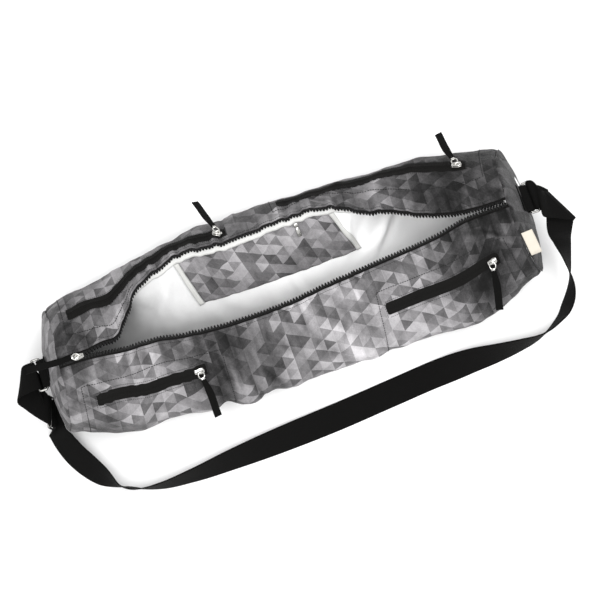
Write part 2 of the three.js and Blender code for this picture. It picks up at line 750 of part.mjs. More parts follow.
for (const pocket of pockets) {
  const line = pocketLine(pocket, 1);
  const inset = (sliderLength * 0.75 * alongSteps) / bagLength;
  const frame = skinFrame(line.x - inset, line.y);
  const spot = frame.spot.clone().addScaledVector(frame.out, sliderLift);
  const across = frame.out.clone().cross(frame.along).multiplyScalar(pocket.side);
  const lean = THREE.MathUtils.degToRad(pocket.pull);
  const direction = across.multiplyScalar(Math.cos(lean)).addScaledVector(frame.along, Math.sin(lean));
  const name = `pocket_zip_${pocket.name}`;
  addPuller(name, spot, frame.along.negate(), frame.out, direction, pullLength, pullDroop);
}

// Main slider, at the closed left end of the zip, with its pull hanging over the end
const sliderAt = mainSliderAt * alongSteps;
const teethTips = [-1, 1].map((side) => (
  onGrid(lipGrid(side, [teethStart, teethStart + teethWidth]), sliderAt, 1)
));
const zipFrame = skinFrame(sliderAt, 0);
const sliderSpot = teethTips[0].clone().lerp(teethTips[1], 0.5);
const sliderUp = new THREE.Vector3(0, 1, 0).cross(zipFrame.along).negate();
sliderSpot.addScaledVector(sliderUp, teethHeight / 2 + pieceGap);
const overEnd = new THREE.Vector3(-1, 0, 0);
addPuller('main', sliderSpot, zipFrame.along.negate(), sliderUp, overEnd, mainPullLength, mainPullDroop);

// Ends of the strap: a webbing tab on each end panel, a rectangular ring, and the strap through it
const wrap = ringWire * Math.SQRT1_2 + pieceGap + webbingWall / 2;
const ringInside = webbingWidth + 2 * sideClearance;
const strapEnds = {
  left: { end: -1, height: leftRingHeight, across: leftRingAcross },
  right: { end: 1, height: rightRingHeight, across: rightRingAcross },
};

// Outer face of an end panel at a depth and height
function endX(end, y, z) {
  const middle = endMiddle(end);
  const rim = rimOf(end, 0);
  const ray = new THREE.Vector2(y - middle.x, z - middle.y);
  const facing = (point) => {
    const toward = new THREE.Vector2(point.y - middle.x, point.z - middle.y).normalize();
    return toward.dot(ray) / ray.length();
  };
  const near = rim.reduce((best, point) => (facing(point) > facing(best) ? point : best));
  const share = Math.min(1, ray.length() / Math.hypot(near.y - middle.x, near.z - middle.y));
  return domeX(end, y, z, share, pieceGap + panelWall);
}

// Farthest reach of an end panel over the width of the webbing
function clearX(end, y, z) {
  return end * Math.max(...[-0.5, 0, 0.5].map((side) => end * endX(end, y + side * webbingWidth, z)));
}

function barX(side) {
  const { end, height, across } = strapEnds[side];
  return clearX(end, across, height) + end * ringReach;
}

for (const side of ['left', 'right']) {
  const { end, height, across } = strapEnds[side];
  const innerBar = barX(side);
  const line = [];
  for (const drop of [0.75, 0.5, 0.25]) {
    const z = height - drop * webbingWidth;
    line.push(new THREE.Vector2(end * (clearX(end, across, z) + end * (webbingWall / 2 + tabClearance)), z));
  }
  for (let k = 0; k <= 6; k += 1) {
    const angle = -Math.PI / 2 + (k * Math.PI) / 6;
    line.push(new THREE.Vector2(end * innerBar + wrap * Math.cos(angle), height + wrap * Math.sin(angle)));
  }
  for (const climb of [0.3, 0.5]) {
    const z = height + climb * webbingWidth;
    line.push(new THREE.Vector2(end * (clearX(end, across, z) + end * (webbingWall / 2 + tabClearance)), z));
  }
  const tab = band(line.map((p) => new THREE.Vector2(end * p.x, p.y)), webbingWidth, webbingWall);
  tab.translate(0, across, 0);
  add(`strap_tab_${side}`, tab, webbing);

  const long = ringSlot + 2 * ringWire;
  const wide = ringInside + 2 * ringWire;
  const outline = roundedBox(long, wide, 1.2 * ringWire);
  outline.holes.push(box(ringSlot, ringInside));
  const ring = extrude(outline, ringWire);
  ring.translate(end * (ringSlot + ringWire) / 2, 0, -ringWire / 2);
  add(`ring_${side}`, ring, metal).position.set(innerBar, across, height);
}

function box(long, wide) {
  return new THREE.Shape([[-1, -1], [1, -1], [1, 1], [-1, 1]].map(([x, y]) => (
    new THREE.Vector2((x * long) / 2, (y * wide) / 2)
  )));
}

function roundedBox(long, wide, corner) {
  const shape = new THREE.Shape();
  const [x, y] = [long / 2, wide / 2];
  shape.moveTo(-x + corner, -y);
  shape.lineTo(x - corner, -y);
  shape.absarc(x - corner, -y + corner, corner, -Math.PI / 2, 0);
  shape.lineTo(x, y - corner);
  shape.absarc(x - corner, y - corner, corner, 0, Math.PI / 2);
  shape.lineTo(-x + corner, y);
  shape.absarc(-x + corner, y - corner, corner, Math.PI / 2, Math.PI);
  shape.lineTo(-x, -y + corner);
  shape.absarc(-x + corner, -y + corner, corner, Math.PI, 1.5 * Math.PI);
  return shape;
}

const outerBar = (side) => barX(side) + strapEnds[side].end * (ringSlot + ringWire);

// Route of the shoulder strap. Every station has x from an end's ring bar or as a share of the half length,
// out in webbing widths, y as a share of the diameter from the ring's middle or the bag's, its height as a
// share of a ring's height over its resting height, and the aim, roll and stretch of its cross-line.
const leftBar = [outerBar('left'), strapEnds.left.across, leftRingHeight];
const rightBar = [outerBar('right'), strapEnds.right.across, rightRingHeight];
const routeColumns = ['x', 'y', 'z', 'aim', 'roll', 'stretch'];

function fromBar(bar, end, rows) {
  return rows.map(([out, y, z, ...rest]) => [
    bar[0] + end * out * webbingWidth,
    bar[1] + y * webbingWidth,
    bar[2] + z * webbingWidth,
    ...rest,
  ]);
}

const resting = (roll, lift) => (
  (webbingWidth / 2) * Math.abs(Math.sin(THREE.MathUtils.degToRad(roll)))
  + (webbingWall / 2) * Math.abs(Math.cos(THREE.MathUtils.degToRad(roll))) + lift * webbingWidth + pieceGap
);

function onFloor(rows) {
  return rows.map(([x, y, lift, aim, roll]) => [
    (x * bagLength) / 2, y * bagDiameter, resting(roll, lift), aim, roll, 1,
  ]);
}

const turn = wrap / webbingWidth;
const toSlider = fromBar(leftBar, -1, [
  [-0.06, -0.66, -0.44, 74, 0, 1],
  [-0.04, -0.35, -0.25, 82, 0, 1],
  [0.03, -0.06, -turn, 90, 0, 1],
  [-turn * 0.72, 0, -turn * 0.72, 90, 0, 1],
  [-turn, 0, 0, 90, 0, 1],
  [-turn * 0.72, 0, turn * 0.72, 90, 0, 1],
  [0.03, 0, turn, 90, 0, 1],
  [0.3, -0.02, 0.12, 86, 0, 1],
  [0.56, -0.08, 0.0, 70, 0, 1],
  [0.66, -0.22, -0.17, 62, 0, 1],
  [0.5, -0.5, -0.36, 62, 0, 1],
  [0.2, -1.0, -0.38, 68, 0, 1],
  [0.04, -1.21, -0.48, 72, 0, 1],
  [-0.01, -1.23, -0.78, 72, 0, 1],
  [-0.04, -1.24, -1.0, 72, 0, 1],
]);
const pastSlider = fromBar(leftBar, -1, [
  [-0.07, -1.25, -1.22, 72, 0, 1],
  [-0.11, -1.27, -1.5, 71, 1, 1],
  [-0.02, -1.54, -1.72, 38, 28, 1],
]);
const overFloor = onFloor([
  [-1.066, -0.4, 0.14, 10, 44],
  [-1.052, -0.5, 0.1, 15, 38],
  [-1.026, -0.628, 0.05, 28, 34],
  [-0.988, -0.756, 0.02, 42, 36],
  [-0.95, -0.86, 0, 50, 50],
  [-0.922, -0.924, 0, 52, 70],
  [-0.894, -0.986, 0, 60, 92],
  [-0.859, -1.027, 0, 70, 100],
  [-0.823, -1.057, 0, 76, 96],
  [-0.749, -1.087, 0, 86, 84],
  [-0.617, -1.093, 0, 91, 68],
  [-0.447, -1.073, 0, 93, 48],
  [-0.208, -1.044, 0, 93, 24],
  [0.02, -1.015, 0, 94, 8],
  [0.246, -0.978, 0, 94, 3],
  [0.456, -0.948, 0, 91, 8],
  [0.6, -0.95, 0, 89, 36],
  [0.69, -0.962, 0, 88, 54],
  [0.79, -0.966, 0, 90, 72],
  [0.878, -0.955, 0, 100, 88],
  [0.921, -0.93, 0, 110, 96],
  [0.964, -0.888, 0, 125, 102],
  [1.004, -0.838, 0.02, 138, 108],
  [1.035, -0.765, 0.12, 150, 110],
  [1.055, -0.69, 0.3, 160, 102],
  [1.065, -0.62, 0.52, 168, 90],
  [1.073, -0.52, 0.7, 172, 72],
  [1.078, -0.42, 0.85, 174, 58],
  [1.08, -0.33, 1.02, 172, 42],
]);

const foldSpot = {
  x: bagLength / 2 + 0.9 * webbingWidth,
  y: rightRingAcross - 0.6 * webbingWidth,
  z: rightRingHeight - foldDrop,
};
const foldRadius = 1.7 * webbingWall;
const diagonal = Math.SQRT2;
const foldRows = [
  [-0.81, 0, -0.25, 161, 18, 1],
  [-0.38, 0, -0.1, 140, 10, 1.08],
  [0, 0, 0, 117, 5, diagonal],
  [0, 1, 1, 117, 5, diagonal],
  [0, 0, 2, 117, 5, diagonal],
  [0.38, 0, 0.1, 94, 3, 1.08],
  [0.7, 0, 0.3, 76, 0, 1],
];
const inHeading = THREE.MathUtils.degToRad(71);
const outHeading = THREE.MathUtils.degToRad(161);
const foldOut = THREE.MathUtils.degToRad(27);
const throughFold = foldRows.map(([along, push, lift, aim, roll, stretch]) => {
  const heading = along < 0 ? inHeading : outHeading;
  const step = Math.abs(along) * webbingWidth * (along < 0 ? -1 : 1);
  const layer = push || !along ? lift * foldRadius : (along > 0 ? 2 * foldRadius : 0) + lift * webbingWidth;
  return [
    foldSpot.x + step * Math.cos(heading) + push * foldRadius * Math.cos(foldOut),
    foldSpot.y + step * Math.sin(heading) + push * foldRadius * Math.sin(foldOut),
    foldSpot.z + layer,
    aim,
    roll,
    stretch,
  ];
});
const roundRing = fromBar(rightBar, 1, [
  [0.02, 0, turn, 88, 0, 1],
  [-turn * 0.72, 0, turn * 0.72, 90, 0, 1],
  [-turn, 0, 0, 90, 0, 1],
  [-turn * 0.72, 0, -turn * 0.72, 90, 0, 1],
  [0.04, -0.02, -turn, 88, 0, 1],
  [0.22, -0.12, -0.2, 76, 0, 1],
  [0.4, -0.3, -0.36, 62, 0, 1],
]);
const route = table(routeColumns, [...toSlider, ...pastSlider, ...overFloor, ...throughFold, ...roundRing]);

// Distance along the strap at every row of the route
let travelled = 0;
route.forEach((row, k) => {
  if (k > 0) {
    const before = route[k - 1];
    travelled += Math.hypot(row.x - before.x, row.y - before.y, row.z - before.z);
  }
  row.far = travelled;
});

const routeValue = (column, far) => lookUp(route, 'far', column, far);

const centreAt = (far) => new THREE.Vector3(...['x', 'y', 'z'].map((column) => routeValue(column, far)));

function acrossAt(far) {
  const aim = THREE.MathUtils.degToRad(routeValue('aim', far));
  const roll = THREE.MathUtils.degToRad(routeValue('roll', far));
  return new THREE.Vector3(Math.cos(roll) * Math.cos(aim), Math.cos(roll) * Math.sin(aim), Math.sin(roll));
}

// Strap slider: a plate with two slots on the strap as it comes down from the left ring. The strap weaves
// over its middle bar and under its outer bars.
const plateLong = 2 * sliderSlot + 3 * sliderBar;
const plateSlot = webbingWidth + 2 * sideClearance;
const plateBody = extrude(roundedBox(plateLong, plateSlot + 2 * sliderBar, sliderBar), sliderPlate);
const slotBody = toSolid(strip(new THREE.BoxGeometry(sliderSlot, plateSlot, 3 * sliderPlate)));
const barPitch = sliderSlot + sliderBar;
const plate = toSolid(strip(plateBody))
  .subtract(slotBody.translate(barPitch / 2, 0, 0))
  .subtract(slotBody.translate(-barPitch / 2, 0, 0));
const plateFar = route[toSlider.length - 1].far;
const plateRun = centreAt(plateFar + sliderSlot).sub(centreAt(plateFar - sliderSlot)).normalize();
const plateFace = acrossAt(plateFar).cross(plateRun).normalize();
const plateSpot = centreAt(plateFar).addScaledVector(plateFace, -sliderPlate / 2);
seat(add('strap_slider', fromSolid(plate), metal), plateSpot, plateRun, plateFace);

const waveHeight = (sliderPlate + webbingWall) / 2 + waveClearance;

function waveAt(far) {
  const away = Math.abs(far - plateFar) / barPitch;
  const swing = Math.cos(Math.PI * away);
  return away < 1 ? waveHeight * swing : (waveHeight * (swing - 1)) / 2;
}

const nearPlate = (far) => Math.abs(far - plateFar) < 2 * barPitch;

// Stations of the strap: its rows with steps between them, and finer ones where it weaves through the plate
function strapStations() {
  const fars = [];
  route.forEach((row, k) => {
    const next = route[Math.min(k + 1, route.length - 1)];
    const pieces = Math.max(1, Math.round((next.far - row.far) / (0.6 * webbingWidth)));
    for (let piece = 0; piece < pieces; piece += 1) {
      fars.push(row.far + ((next.far - row.far) * piece) / pieces);
    }
  });
  const weave = [];
  for (let k = -8; k <= 8; k += 1) {
    weave.push(plateFar + (k * barPitch) / 4);
  }
  return [...fars.filter((far) => !nearPlate(far)), ...weave].sort((a, b) => a - b);
}

const stations = strapStations();
const strapCentres = stations.map((far) => (
  nearPlate(far) ? centreAt(far).addScaledVector(plateFace, waveAt(far)) : centreAt(far)
));
const strapWidths = stations.map((far) => routeValue('stretch', far) * webbingWidth);
add('shoulder_strap', ribbon(strapCentres, stations.map(acrossAt), strapWidths, webbingWall), webbing);

// Label in the seam of the right end, sewn along its long side a little below the lip, its free side
// standing out of the seam
const labelOut = new THREE.Vector3(Math.cos(labelDroop), 0.1, -Math.sin(labelDroop)).normalize();
const labelLevel = (shift) => [0, 1, 2, 3].map((row) => {
  const share = (labelDrop + (row * labelLength) / 3) / halfGirthAt(1, -1);
  const seam = onGrid(skin, alongSteps, midSteps * share, 2 * pieceGap + shift);
  seam.x += panelWall + 2 * pieceGap;
  return [0, 1, 2].map((column) => seam.clone().addScaledVector(labelOut, (column * labelWidth) / 2));
});
add('label', slab(labelLevel(labelWall), labelLevel(0)), labelCloth);

export default group;
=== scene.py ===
import math

import bpy
import numpy as np
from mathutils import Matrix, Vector


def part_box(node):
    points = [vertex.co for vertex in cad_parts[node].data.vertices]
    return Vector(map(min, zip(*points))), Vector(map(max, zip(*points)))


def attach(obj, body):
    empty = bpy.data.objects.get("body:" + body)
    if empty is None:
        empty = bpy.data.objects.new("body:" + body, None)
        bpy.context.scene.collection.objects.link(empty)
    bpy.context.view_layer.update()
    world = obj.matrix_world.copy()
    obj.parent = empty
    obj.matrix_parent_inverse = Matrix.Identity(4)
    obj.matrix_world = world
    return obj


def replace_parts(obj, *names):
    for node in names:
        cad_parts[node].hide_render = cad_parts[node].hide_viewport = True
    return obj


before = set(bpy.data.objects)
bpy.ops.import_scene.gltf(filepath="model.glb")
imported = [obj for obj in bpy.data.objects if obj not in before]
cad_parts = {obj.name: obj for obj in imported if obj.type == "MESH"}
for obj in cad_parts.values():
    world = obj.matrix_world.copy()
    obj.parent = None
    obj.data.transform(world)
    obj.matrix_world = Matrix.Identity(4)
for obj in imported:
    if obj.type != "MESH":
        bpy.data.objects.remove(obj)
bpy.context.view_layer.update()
mm = 0.001

# Sizes are in millimetres in the CAD frame: X along the bag, Y to its back, Z up
body = {
    "length": 676.0, "diameter": 168.0, "wall": 1.2, "layer": 2.4, "gap": 0.3,
    "leftLean": 20.0, "rightLean": 46.0, "leftYaw": 15.0, "rightYaw": 6.0, "bulge": 12.0,
    "tape": 5.0, "teeth": 2.6, "alongSteps": 282, "halfSteps": 97,
}
radius = body["diameter"] / 2
fullCrown = 1.9 * radius
closedHalf = body["tape"] + body["teeth"] + 2.5 * body["gap"]

sectionNames = (
    "at", "crown", "waist", "front", "frontTilt", "back", "backTilt", "flat", "mid", "open", "slack",
)
sections = np.array([
    [0.0, 1.9, 0.9, 0.98, 8, 0.96, 8, 0.2, -0.125, 0, 0],
    [0.045, 1.78, 0.8, 1.1, 10, 1.08, 8, 0.34, -0.1, 0, 0],
    [0.09, 1.64, 0.7, 1.24, 12, 1.15, 8, 0.42, -0.07, 0.03, 0.1],
    [0.14, 1.5, 0.62, 1.3, 18, 1.24, 12, 0.48, -0.03, 0.09, 0.4],
    [0.165, 1.47, 0.6, 1.27, 20, 1.28, 20, 0.5, 0.1, 0.22, 0.55],
    [0.195, 1.45, 0.58, 1.26, 24, 1.31, 28, 0.5, 0.24, 0.36, 0.75],
    [0.26, 1.45, 0.56, 1.34, 28, 1.39, 34, 0.52, 0.32, 0.52, 1],
    [0.32, 1.44, 0.56, 1.38, 30, 1.46, 36, 0.52, 0.35, 0.6, 1],
    [0.4, 1.42, 0.55, 1.41, 30, 1.51, 36, 0.54, 0.32, 0.585, 1],
    [0.5, 1.4, 0.55, 1.39, 30, 1.54, 36, 0.55, 0.35, 0.585, 1],
    [0.6, 1.4, 0.55, 1.39, 28, 1.52, 36, 0.55, 0.4, 0.55, 1],
    [0.66, 1.38, 0.55, 1.39, 24, 1.5, 30, 0.55, 0.37, 0.48, 0.9],
    [0.7, 1.36, 0.55, 1.38, 20, 1.49, 24, 0.54, 0.3, 0.38, 0.75],
    [0.76, 1.34, 0.57, 1.38, 16, 1.47, 18, 0.53, 0.24, 0.28, 0.5],
    [0.82, 1.38, 0.6, 1.42, 12, 1.46, 12, 0.5, 0.15, 0.15, 0.25],
    [0.9, 1.56, 0.7, 1.3, 10, 1.35, 8, 0.4, 0.09, 0.02, 0.05],
    [0.955, 1.74, 0.8, 1.12, 8, 1.2, 8, 0.32, 0.04, 0, 0],
    [1.0, 1.9, 0.9, 1.01, 8, 1.06, 8, 0.2, 0.01, 0, 0],
])

# Folds: place as shares of the length and of a half girth (front below 0), half length and half width in
# millimetres, height in millimetres and turn in degrees
mainFolds = np.array([
    [0.305, -0.5, 76, 11.8, -7.6, 84],
    [0.35, -0.55, 76, 12.6, 4.6, 92],
    [0.4, -0.5, 59, 11.8, -5.0, 96],
    [0.53, -0.72, 50, 9.0, -4.6, 56],
    [0.59, -0.62, 59, 11.8, 2.9, 62],
    [0.64, -0.6, 50, 11.0, -3.4, 80],
    [0.2, -0.3, 34, 25.0, -4.2, 0],
    [0.13, -0.35, 34, 25.0, 2.5, 10],
    [0.3, 0.7, 42, 11.8, -4.2, 80],
    [0.36, 0.66, 42, 11.8, 2.9, 84],
    [0.58, 0.6, 59, 12.6, -2.9, 100],
    [0.08, -0.6, 42, 11.0, -3.4, 70],
    [0.9, -0.75, 34, 11.0, -3.8, 130],
    [0.88, 0.5, 50, 13.4, -2.9, 80],
])
fineFolds = np.array([
    [0.318, -0.78, 34, 3.2, -2.2, 86],
    [0.334, -0.72, 30, 3.0, 1.8, 92],
    [0.348, -0.8, 26, 3.4, -1.8, 98],
    [0.372, -0.62, 36, 4.0, -2.4, 76],
    [0.39, -0.74, 34, 3.6, 1.6, 84],
    [0.41, -0.66, 38, 4.0, -1.6, 64],
    [0.455, -0.8, 30, 4.0, -1.4, 50],
    [0.5, -0.84, 26, 3.4, 1.2, 64],
    [0.56, -0.86, 24, 3.2, -1.3, 58],
    [0.6, -0.8, 30, 3.6, -1.5, 66],
    [0.63, -0.88, 18, 3.0, 1.2, 74],
    [0.03, -0.8, 24, 3.6, -1.8, 20],
    [0.055, -0.9, 22, 3.2, 1.4, 36],
    [0.035, 0.85, 26, 3.4, -1.6, -24],
    [0.06, 0.93, 20, 3.2, 1.4, -40],
    [0.93, -0.93, 26, 3.0, -1.6, 28],
    [0.95, -0.88, 28, 3.0, 1.3, 34],
    [0.9, -0.95, 22, 3.0, -1.2, 24],
    [0.47, 0.88, 22, 3.4, -1.4, 80],
    [0.44, 0.82, 30, 4.0, 1.4, 86],
    [0.41, 0.8, 30, 3.6, -1.4, 96],
    [0.62, 0.93, 24, 3.4, -1.2, 20],
])


def hermite(keys, values, place):
    rate = np.diff(values) / np.diff(keys)
    span = np.diff(keys)
    slope = np.concatenate([
        rate[:1],
        (rate[:-1] * span[1:] + rate[1:] * span[:-1]) / (span[:-1] + span[1:]),
        rate[-1:],
    ])
    here = np.clip(place, keys[0], keys[-1])
    k = np.clip(np.searchsorted(keys, here, side="left") - 1, 0, len(span) - 1)
    t = (here - keys[k]) / span[k]
    start = (2 * t ** 3 - 3 * t ** 2 + 1) * values[k] + (t ** 3 - 2 * t ** 2 + t) * slope[k] * span[k]
    finish = (3 * t ** 2 - 2 * t ** 3) * values[k + 1] + (t ** 3 - t ** 2) * slope[k + 1] * span[k]
    return start + finish


def column(name, at):
    return hermite(sections[:, 0], sections[:, sectionNames.index(name)], np.asarray(at, float))


def smooth(x, low, high):
    t = np.clip((x - low) / (high - low), 0, 1)
    return t * t * (3 - 2 * t)


def unit(vectors):
    return vectors / np.linalg.norm(vectors, axis=-1, keepdims=True)


# Distance of each point of a line from its first
def farAlong(points):
    return np.concatenate([[0], np.cumsum(np.linalg.norm(np.diff(points, axis=0), axis=-1))])


# Points, or other rows, at places along a line
def rowsAt(places, far, rows):
    return np.stack([np.interp(places, far, values) for values in rows.T], axis=-1)


def placeX(at, y, z):
    rise = np.maximum(z, 0) / fullCrown
    lean = (body["leftLean"] * (1 - at) - body["rightLean"] * at) * rise ** 1.3
    nearLeft = np.maximum(0, 1 - at / 0.25) ** 2
    nearRight = np.maximum(0, 1 - (1 - at) / 0.25) ** 2
    yaw = (y / body["diameter"]) * (body["leftYaw"] * nearLeft + body["rightYaw"] * nearRight)
    return (at - 0.5) * body["length"] + lean + yaw


def bezier(a, b, c, d, steps):
    t = np.linspace(0, 1, steps)[:, None]
    return (1 - t) ** 3 * a + 3 * (1 - t) ** 2 * t * b + 3 * (1 - t) * t ** 2 * c + t ** 3 * d


# Half of a cross-section from the middle of the bottom to the lip, with the distance along it
def halfLine(at, side):
    name = "front" if side < 0 else "back"
    roundness = 0.55
    crown = column("crown", at) * radius
    waist = column("waist", at) * radius
    reach = column(name, at) * radius
    tilt = math.radians(column(name + "Tilt", at))
    flatHalf = column("flat", at) * reach
    opening = max(column("open", at), 0) * radius + closedHalf
    lip = np.array([column("mid", at) * radius + side * opening, crown])
    widest = np.array([side * reach, waist])
    foot = np.array([side * flatHalf, 0.0])
    topReach = roundness * (abs(widest[0] - lip[0]) * math.cos(tilt) + (crown - waist) * math.sin(tilt))
    sideRise = roundness * (crown - waist) * (1 - 0.45 * math.sin(tilt))
    under = bezier(
        foot, foot + (side * roundness * (reach - flatHalf), 0),
        np.array([widest[0], waist * (1 - roundness)]), widest, 24,
    )
    over = bezier(
        widest, widest + (0, sideRise),
        np.array([lip[0] + side * topReach * math.cos(tilt), crown - topReach * math.sin(tilt)]), lip, 32,
    )
    line = np.concatenate([[[0.0, 0.0]], under, over[1:]])
    far = np.concatenate([[0], np.cumsum(np.hypot(*np.diff(line, axis=0).T))])
    return line, far


def normalsOf(points):
    normal = np.cross(np.gradient(points, axis=1), np.gradient(points, axis=0))
    return normal / np.maximum(np.linalg.norm(normal, axis=-1, keepdims=True), 1e-9)


# Smooth noise from -1 to 1 over a plane, one cell a unit
def noise(u, v, seed):
    lattice = np.random.default_rng(seed).uniform(-1, 1, (61, 67))
    i, j = np.floor(u).astype(int), np.floor(v).astype(int)
    fu, fv = u - i, v - j
    fu, fv = fu ** 3 * (fu * (6 * fu - 15) + 10), fv ** 3 * (fv * (6 * fv - 15) + 10)

    def pick(a, b):
        return lattice[a % 61, b % 67]

    near = pick(i, j) * (1 - fu) + pick(i + 1, j) * fu
    far = pick(i, j + 1) * (1 - fu) + pick(i + 1, j + 1) * fu
    return near * (1 - fv) + far * fv


def foldHeight(folds, along, arounds, halfGirth):
    height = np.zeros(np.broadcast(along, arounds).shape)
    for at, around, length, width, depth, turn in folds:
        run = along - at * body["length"]
        off = (arounds - around) * halfGirth
        c, s = math.cos(math.radians(turn)), math.sin(math.radians(turn))
        a = (run * c + off * s) / length
        b = (off * c - run * s) / width
        height += depth * np.exp(-a ** 2 - b ** 2)
    return height


# Skin of the body on a fine grid, from the front lip round the bottom to the back lip
alongSteps, halfSteps = body["alongSteps"], body["halfSteps"]
ats = np.linspace(0, 1, alongSteps + 1)
arounds = np.linspace(-1, 1, 2 * halfSteps + 1)
plain = np.zeros((len(ats), len(arounds), 3))
arc = np.zeros((len(ats), len(arounds)))
girths = np.zeros((len(ats), 2))
for i, at in enumerate(ats):
    for side in (-1, 1):
        line, far = halfLine(at, side)
        pick = arounds < 0 if side < 0 else arounds >= 0
        spot = np.abs(arounds[pick]) * far[-1]
        y = np.interp(spot, far, line[:, 0])
        z = np.interp(spot, far, line[:, 1])
        plain[i, pick] = np.stack([placeX(at, y, z), y, z], axis=-1)
        arc[i, pick] = side * spot
        girths[i, 0 if side < 0 else 1] = far[-1]
atGrid = ats[:, None] + 0 * arounds[None, :]
aroundGrid = arounds[None, :] + 0 * ats[:, None]
girthGrid = np.where(aroundGrid < 0, girths[:, :1], girths[:, 1:])
alongGrid = atGrid * body["length"]
lipAway = (1 - np.abs(aroundGrid)) * girthGrid
endAway = np.minimum(atGrid, 1 - atGrid) * body["length"]
flatShare = np.where(aroundGrid < 0, column("flat", atGrid) * column("front", atGrid),
                     column("flat", atGrid) * column("back", atGrid)) * radius / girthGrid
offFloor = smooth(np.abs(aroundGrid), flatShare * 1.2, flatShare * 1.2 + 0.15)

folded = foldHeight(mainFolds, alongGrid, aroundGrid, girthGrid)
folded *= np.minimum(1, 8 * np.minimum(atGrid, 1 - atGrid)) * (1 - 0.6 * smooth(np.abs(aroundGrid), 0.85, 1))
wrinkled = 1.6 * foldHeight(fineFolds, alongGrid, aroundGrid, girthGrid)

# Unevenness of the cloth: height and cells along and across in millimetres, seed, and its share at a place
everywhere = np.ones_like(arc)
gathered = np.exp(-(lipAway / 34) ** 2)
nearSeam = np.exp(-(endAway / 30) ** 2)
for height, cellAlong, cellAcross, seed, share in (
    (1.1, 42, 36, 3, everywhere), (0.7, 15, 24, 5, everywhere), (2.1, 9, 60, 7, gathered),
    (1.1, 4.8, 34, 8, gathered), (1.7, 34, 9, 9, nearSeam),
    (0.45, 6.5, 40, 14, noise(alongGrid / 60, arc / 50, 15)),
):
    wrinkled += height * share * noise(alongGrid / cellAlong, arc / cellAcross, seed)
wrinkled += 0.8 * noise((alongGrid + 0.5 * arc) / 15, (arc - 0.4 * alongGrid) / 60, 11)
seamPinch = -1.6 * np.exp(-(endAway / 3.2) ** 2)
skin = plain + normalsOf(plain) * (((folded + wrinkled) * offFloor) + seamPinch)[..., None]
skin[..., 2] = np.maximum(skin[..., 2], 0.05)
skinNormals = normalsOf(skin)
print("skin", skin.shape)


# A point of a grid, with an offset along its normal
def sample(grid, normals, u, v, offset=0.0):
    u = np.clip(np.asarray(u, float), 0, grid.shape[0] - 1.001)
    v = np.clip(np.asarray(v, float), 0, grid.shape[1] - 1.001)
    i, j = np.floor(u).astype(int), np.floor(v).astype(int)
    fu, fv = (u - i)[..., None], (v - j)[..., None]

    def mix(field):
        near = field[i, j] * (1 - fu) + field[i + 1, j] * fu
        far = field[i, j + 1] * (1 - fu) + field[i + 1, j + 1] * fu
        return near * (1 - fv) + far * fv

    out = unit(mix(normals))
    return mix(grid) + out * np.asarray(offset)[..., None], out


def onSkin(at, around, offset=0.0, grid=None):
    grid = grid if grid is not None else (skin, skinNormals)
    at, around, offset = np.broadcast_arrays(at, around, offset)
    return sample(*grid, at * alongSteps, (around + 1) * halfSteps, offset)


def girthAt(at, side):
    return np.interp(at, ats, girths[:, 0 if side < 0 else 1])


# Objects
def addMesh(name, points, faces, slot, material, uv=None, tone=None, sharp=False):
    mesh = bpy.data.meshes.new(name)
    mesh.from_pydata((np.asarray(points).reshape(-1, 3) * mm).tolist(), [], [list(f) for f in faces])
    mesh.polygons.foreach_set("use_smooth", [not sharp] * len(mesh.polygons))
    if uv is not None:
        layer = mesh.uv_layers.new(name="cloth")
        corners = np.zeros(len(mesh.loops), int)
        mesh.loops.foreach_get("vertex_index", corners)
        layer.data.foreach_set("uv", (np.asarray(uv).reshape(-1, 2)[corners] * mm).ravel())
    if tone is not None:
        values = mesh.attributes.new("tone", "FLOAT", "POINT")
        values.data.foreach_set("value", np.asarray(tone, np.float32).ravel())
    mesh.materials.append(material)
    mesh.update()
    piece = bpy.data.objects.new(name, mesh)
    bpy.context.scene.collection.objects.link(piece)
    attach(piece, "root")
    return piece


def quads(rows, columns, closed=False):
    index = np.arange(rows * columns).reshape(rows, columns)
    if closed:
        index = np.concatenate([index, index[:, :1]], axis=1)
    a, b, c, d = index[:-1, :-1], index[:-1, 1:], index[1:, 1:], index[1:, :-1]
    return np.stack([a, b, c, d], axis=-1).reshape(-1, 4)


def thicken(piece, wall, offset=-1.0):
    solid = piece.modifiers.new("wall", "SOLIDIFY")
    solid.thickness = wall * mm
    solid.offset = offset
    solid.use_rim = True
    return piece


# Many copies of a closed form, given as points and faces, in one mesh; each has a spot and three axes
def addMany(name, form, spots, xs, ys, zs, slot, material, sharp=False):
    points, faces = form
    placed = (spots[:, None, :] + points[None, :, :1] * xs[:, None, :]
              + points[None, :, 1:2] * ys[:, None, :] + points[None, :, 2:3] * zs[:, None, :])
    count = len(points)
    every = [[corner + k * count for corner in face] for k in range(len(spots)) for face in faces]
    return addMesh(name, placed, every, slot, material, sharp=sharp)


# Materials
def newMaterial(name, roughness, metallic=0.0, sheen=0.0, specular=0.5):
    material = bpy.data.materials.new(name)
    material.use_nodes = True
    shader = material.node_tree.nodes["Principled BSDF"]
    shader.inputs["Roughness"].default_value = roughness
    shader.inputs["Metallic"].default_value = metallic
    shader.inputs["Sheen Weight"].default_value = sheen
    shader.inputs["Sheen Roughness"].default_value = 0.5
    shader.inputs["Specular IOR Level"].default_value = specular
    return material, material.node_tree, shader


def node(tree, kind, *values, **settings):
    made = tree.nodes.new(kind)
    for key, value in settings.items():
        setattr(made, key, value)
    for place, value in enumerate(values):
        if value is None:
            continue
        if isinstance(value, bpy.types.NodeSocket):
            tree.links.new(value, made.inputs[place])
        else:
            made.inputs[place].default_value = value
    return made


def calc(tree, operation, *values):
    return node(tree, "ShaderNodeMath", *values, operation=operation).outputs[0]


def plus(tree, a, b):
    return calc(tree, "ADD", a, b)


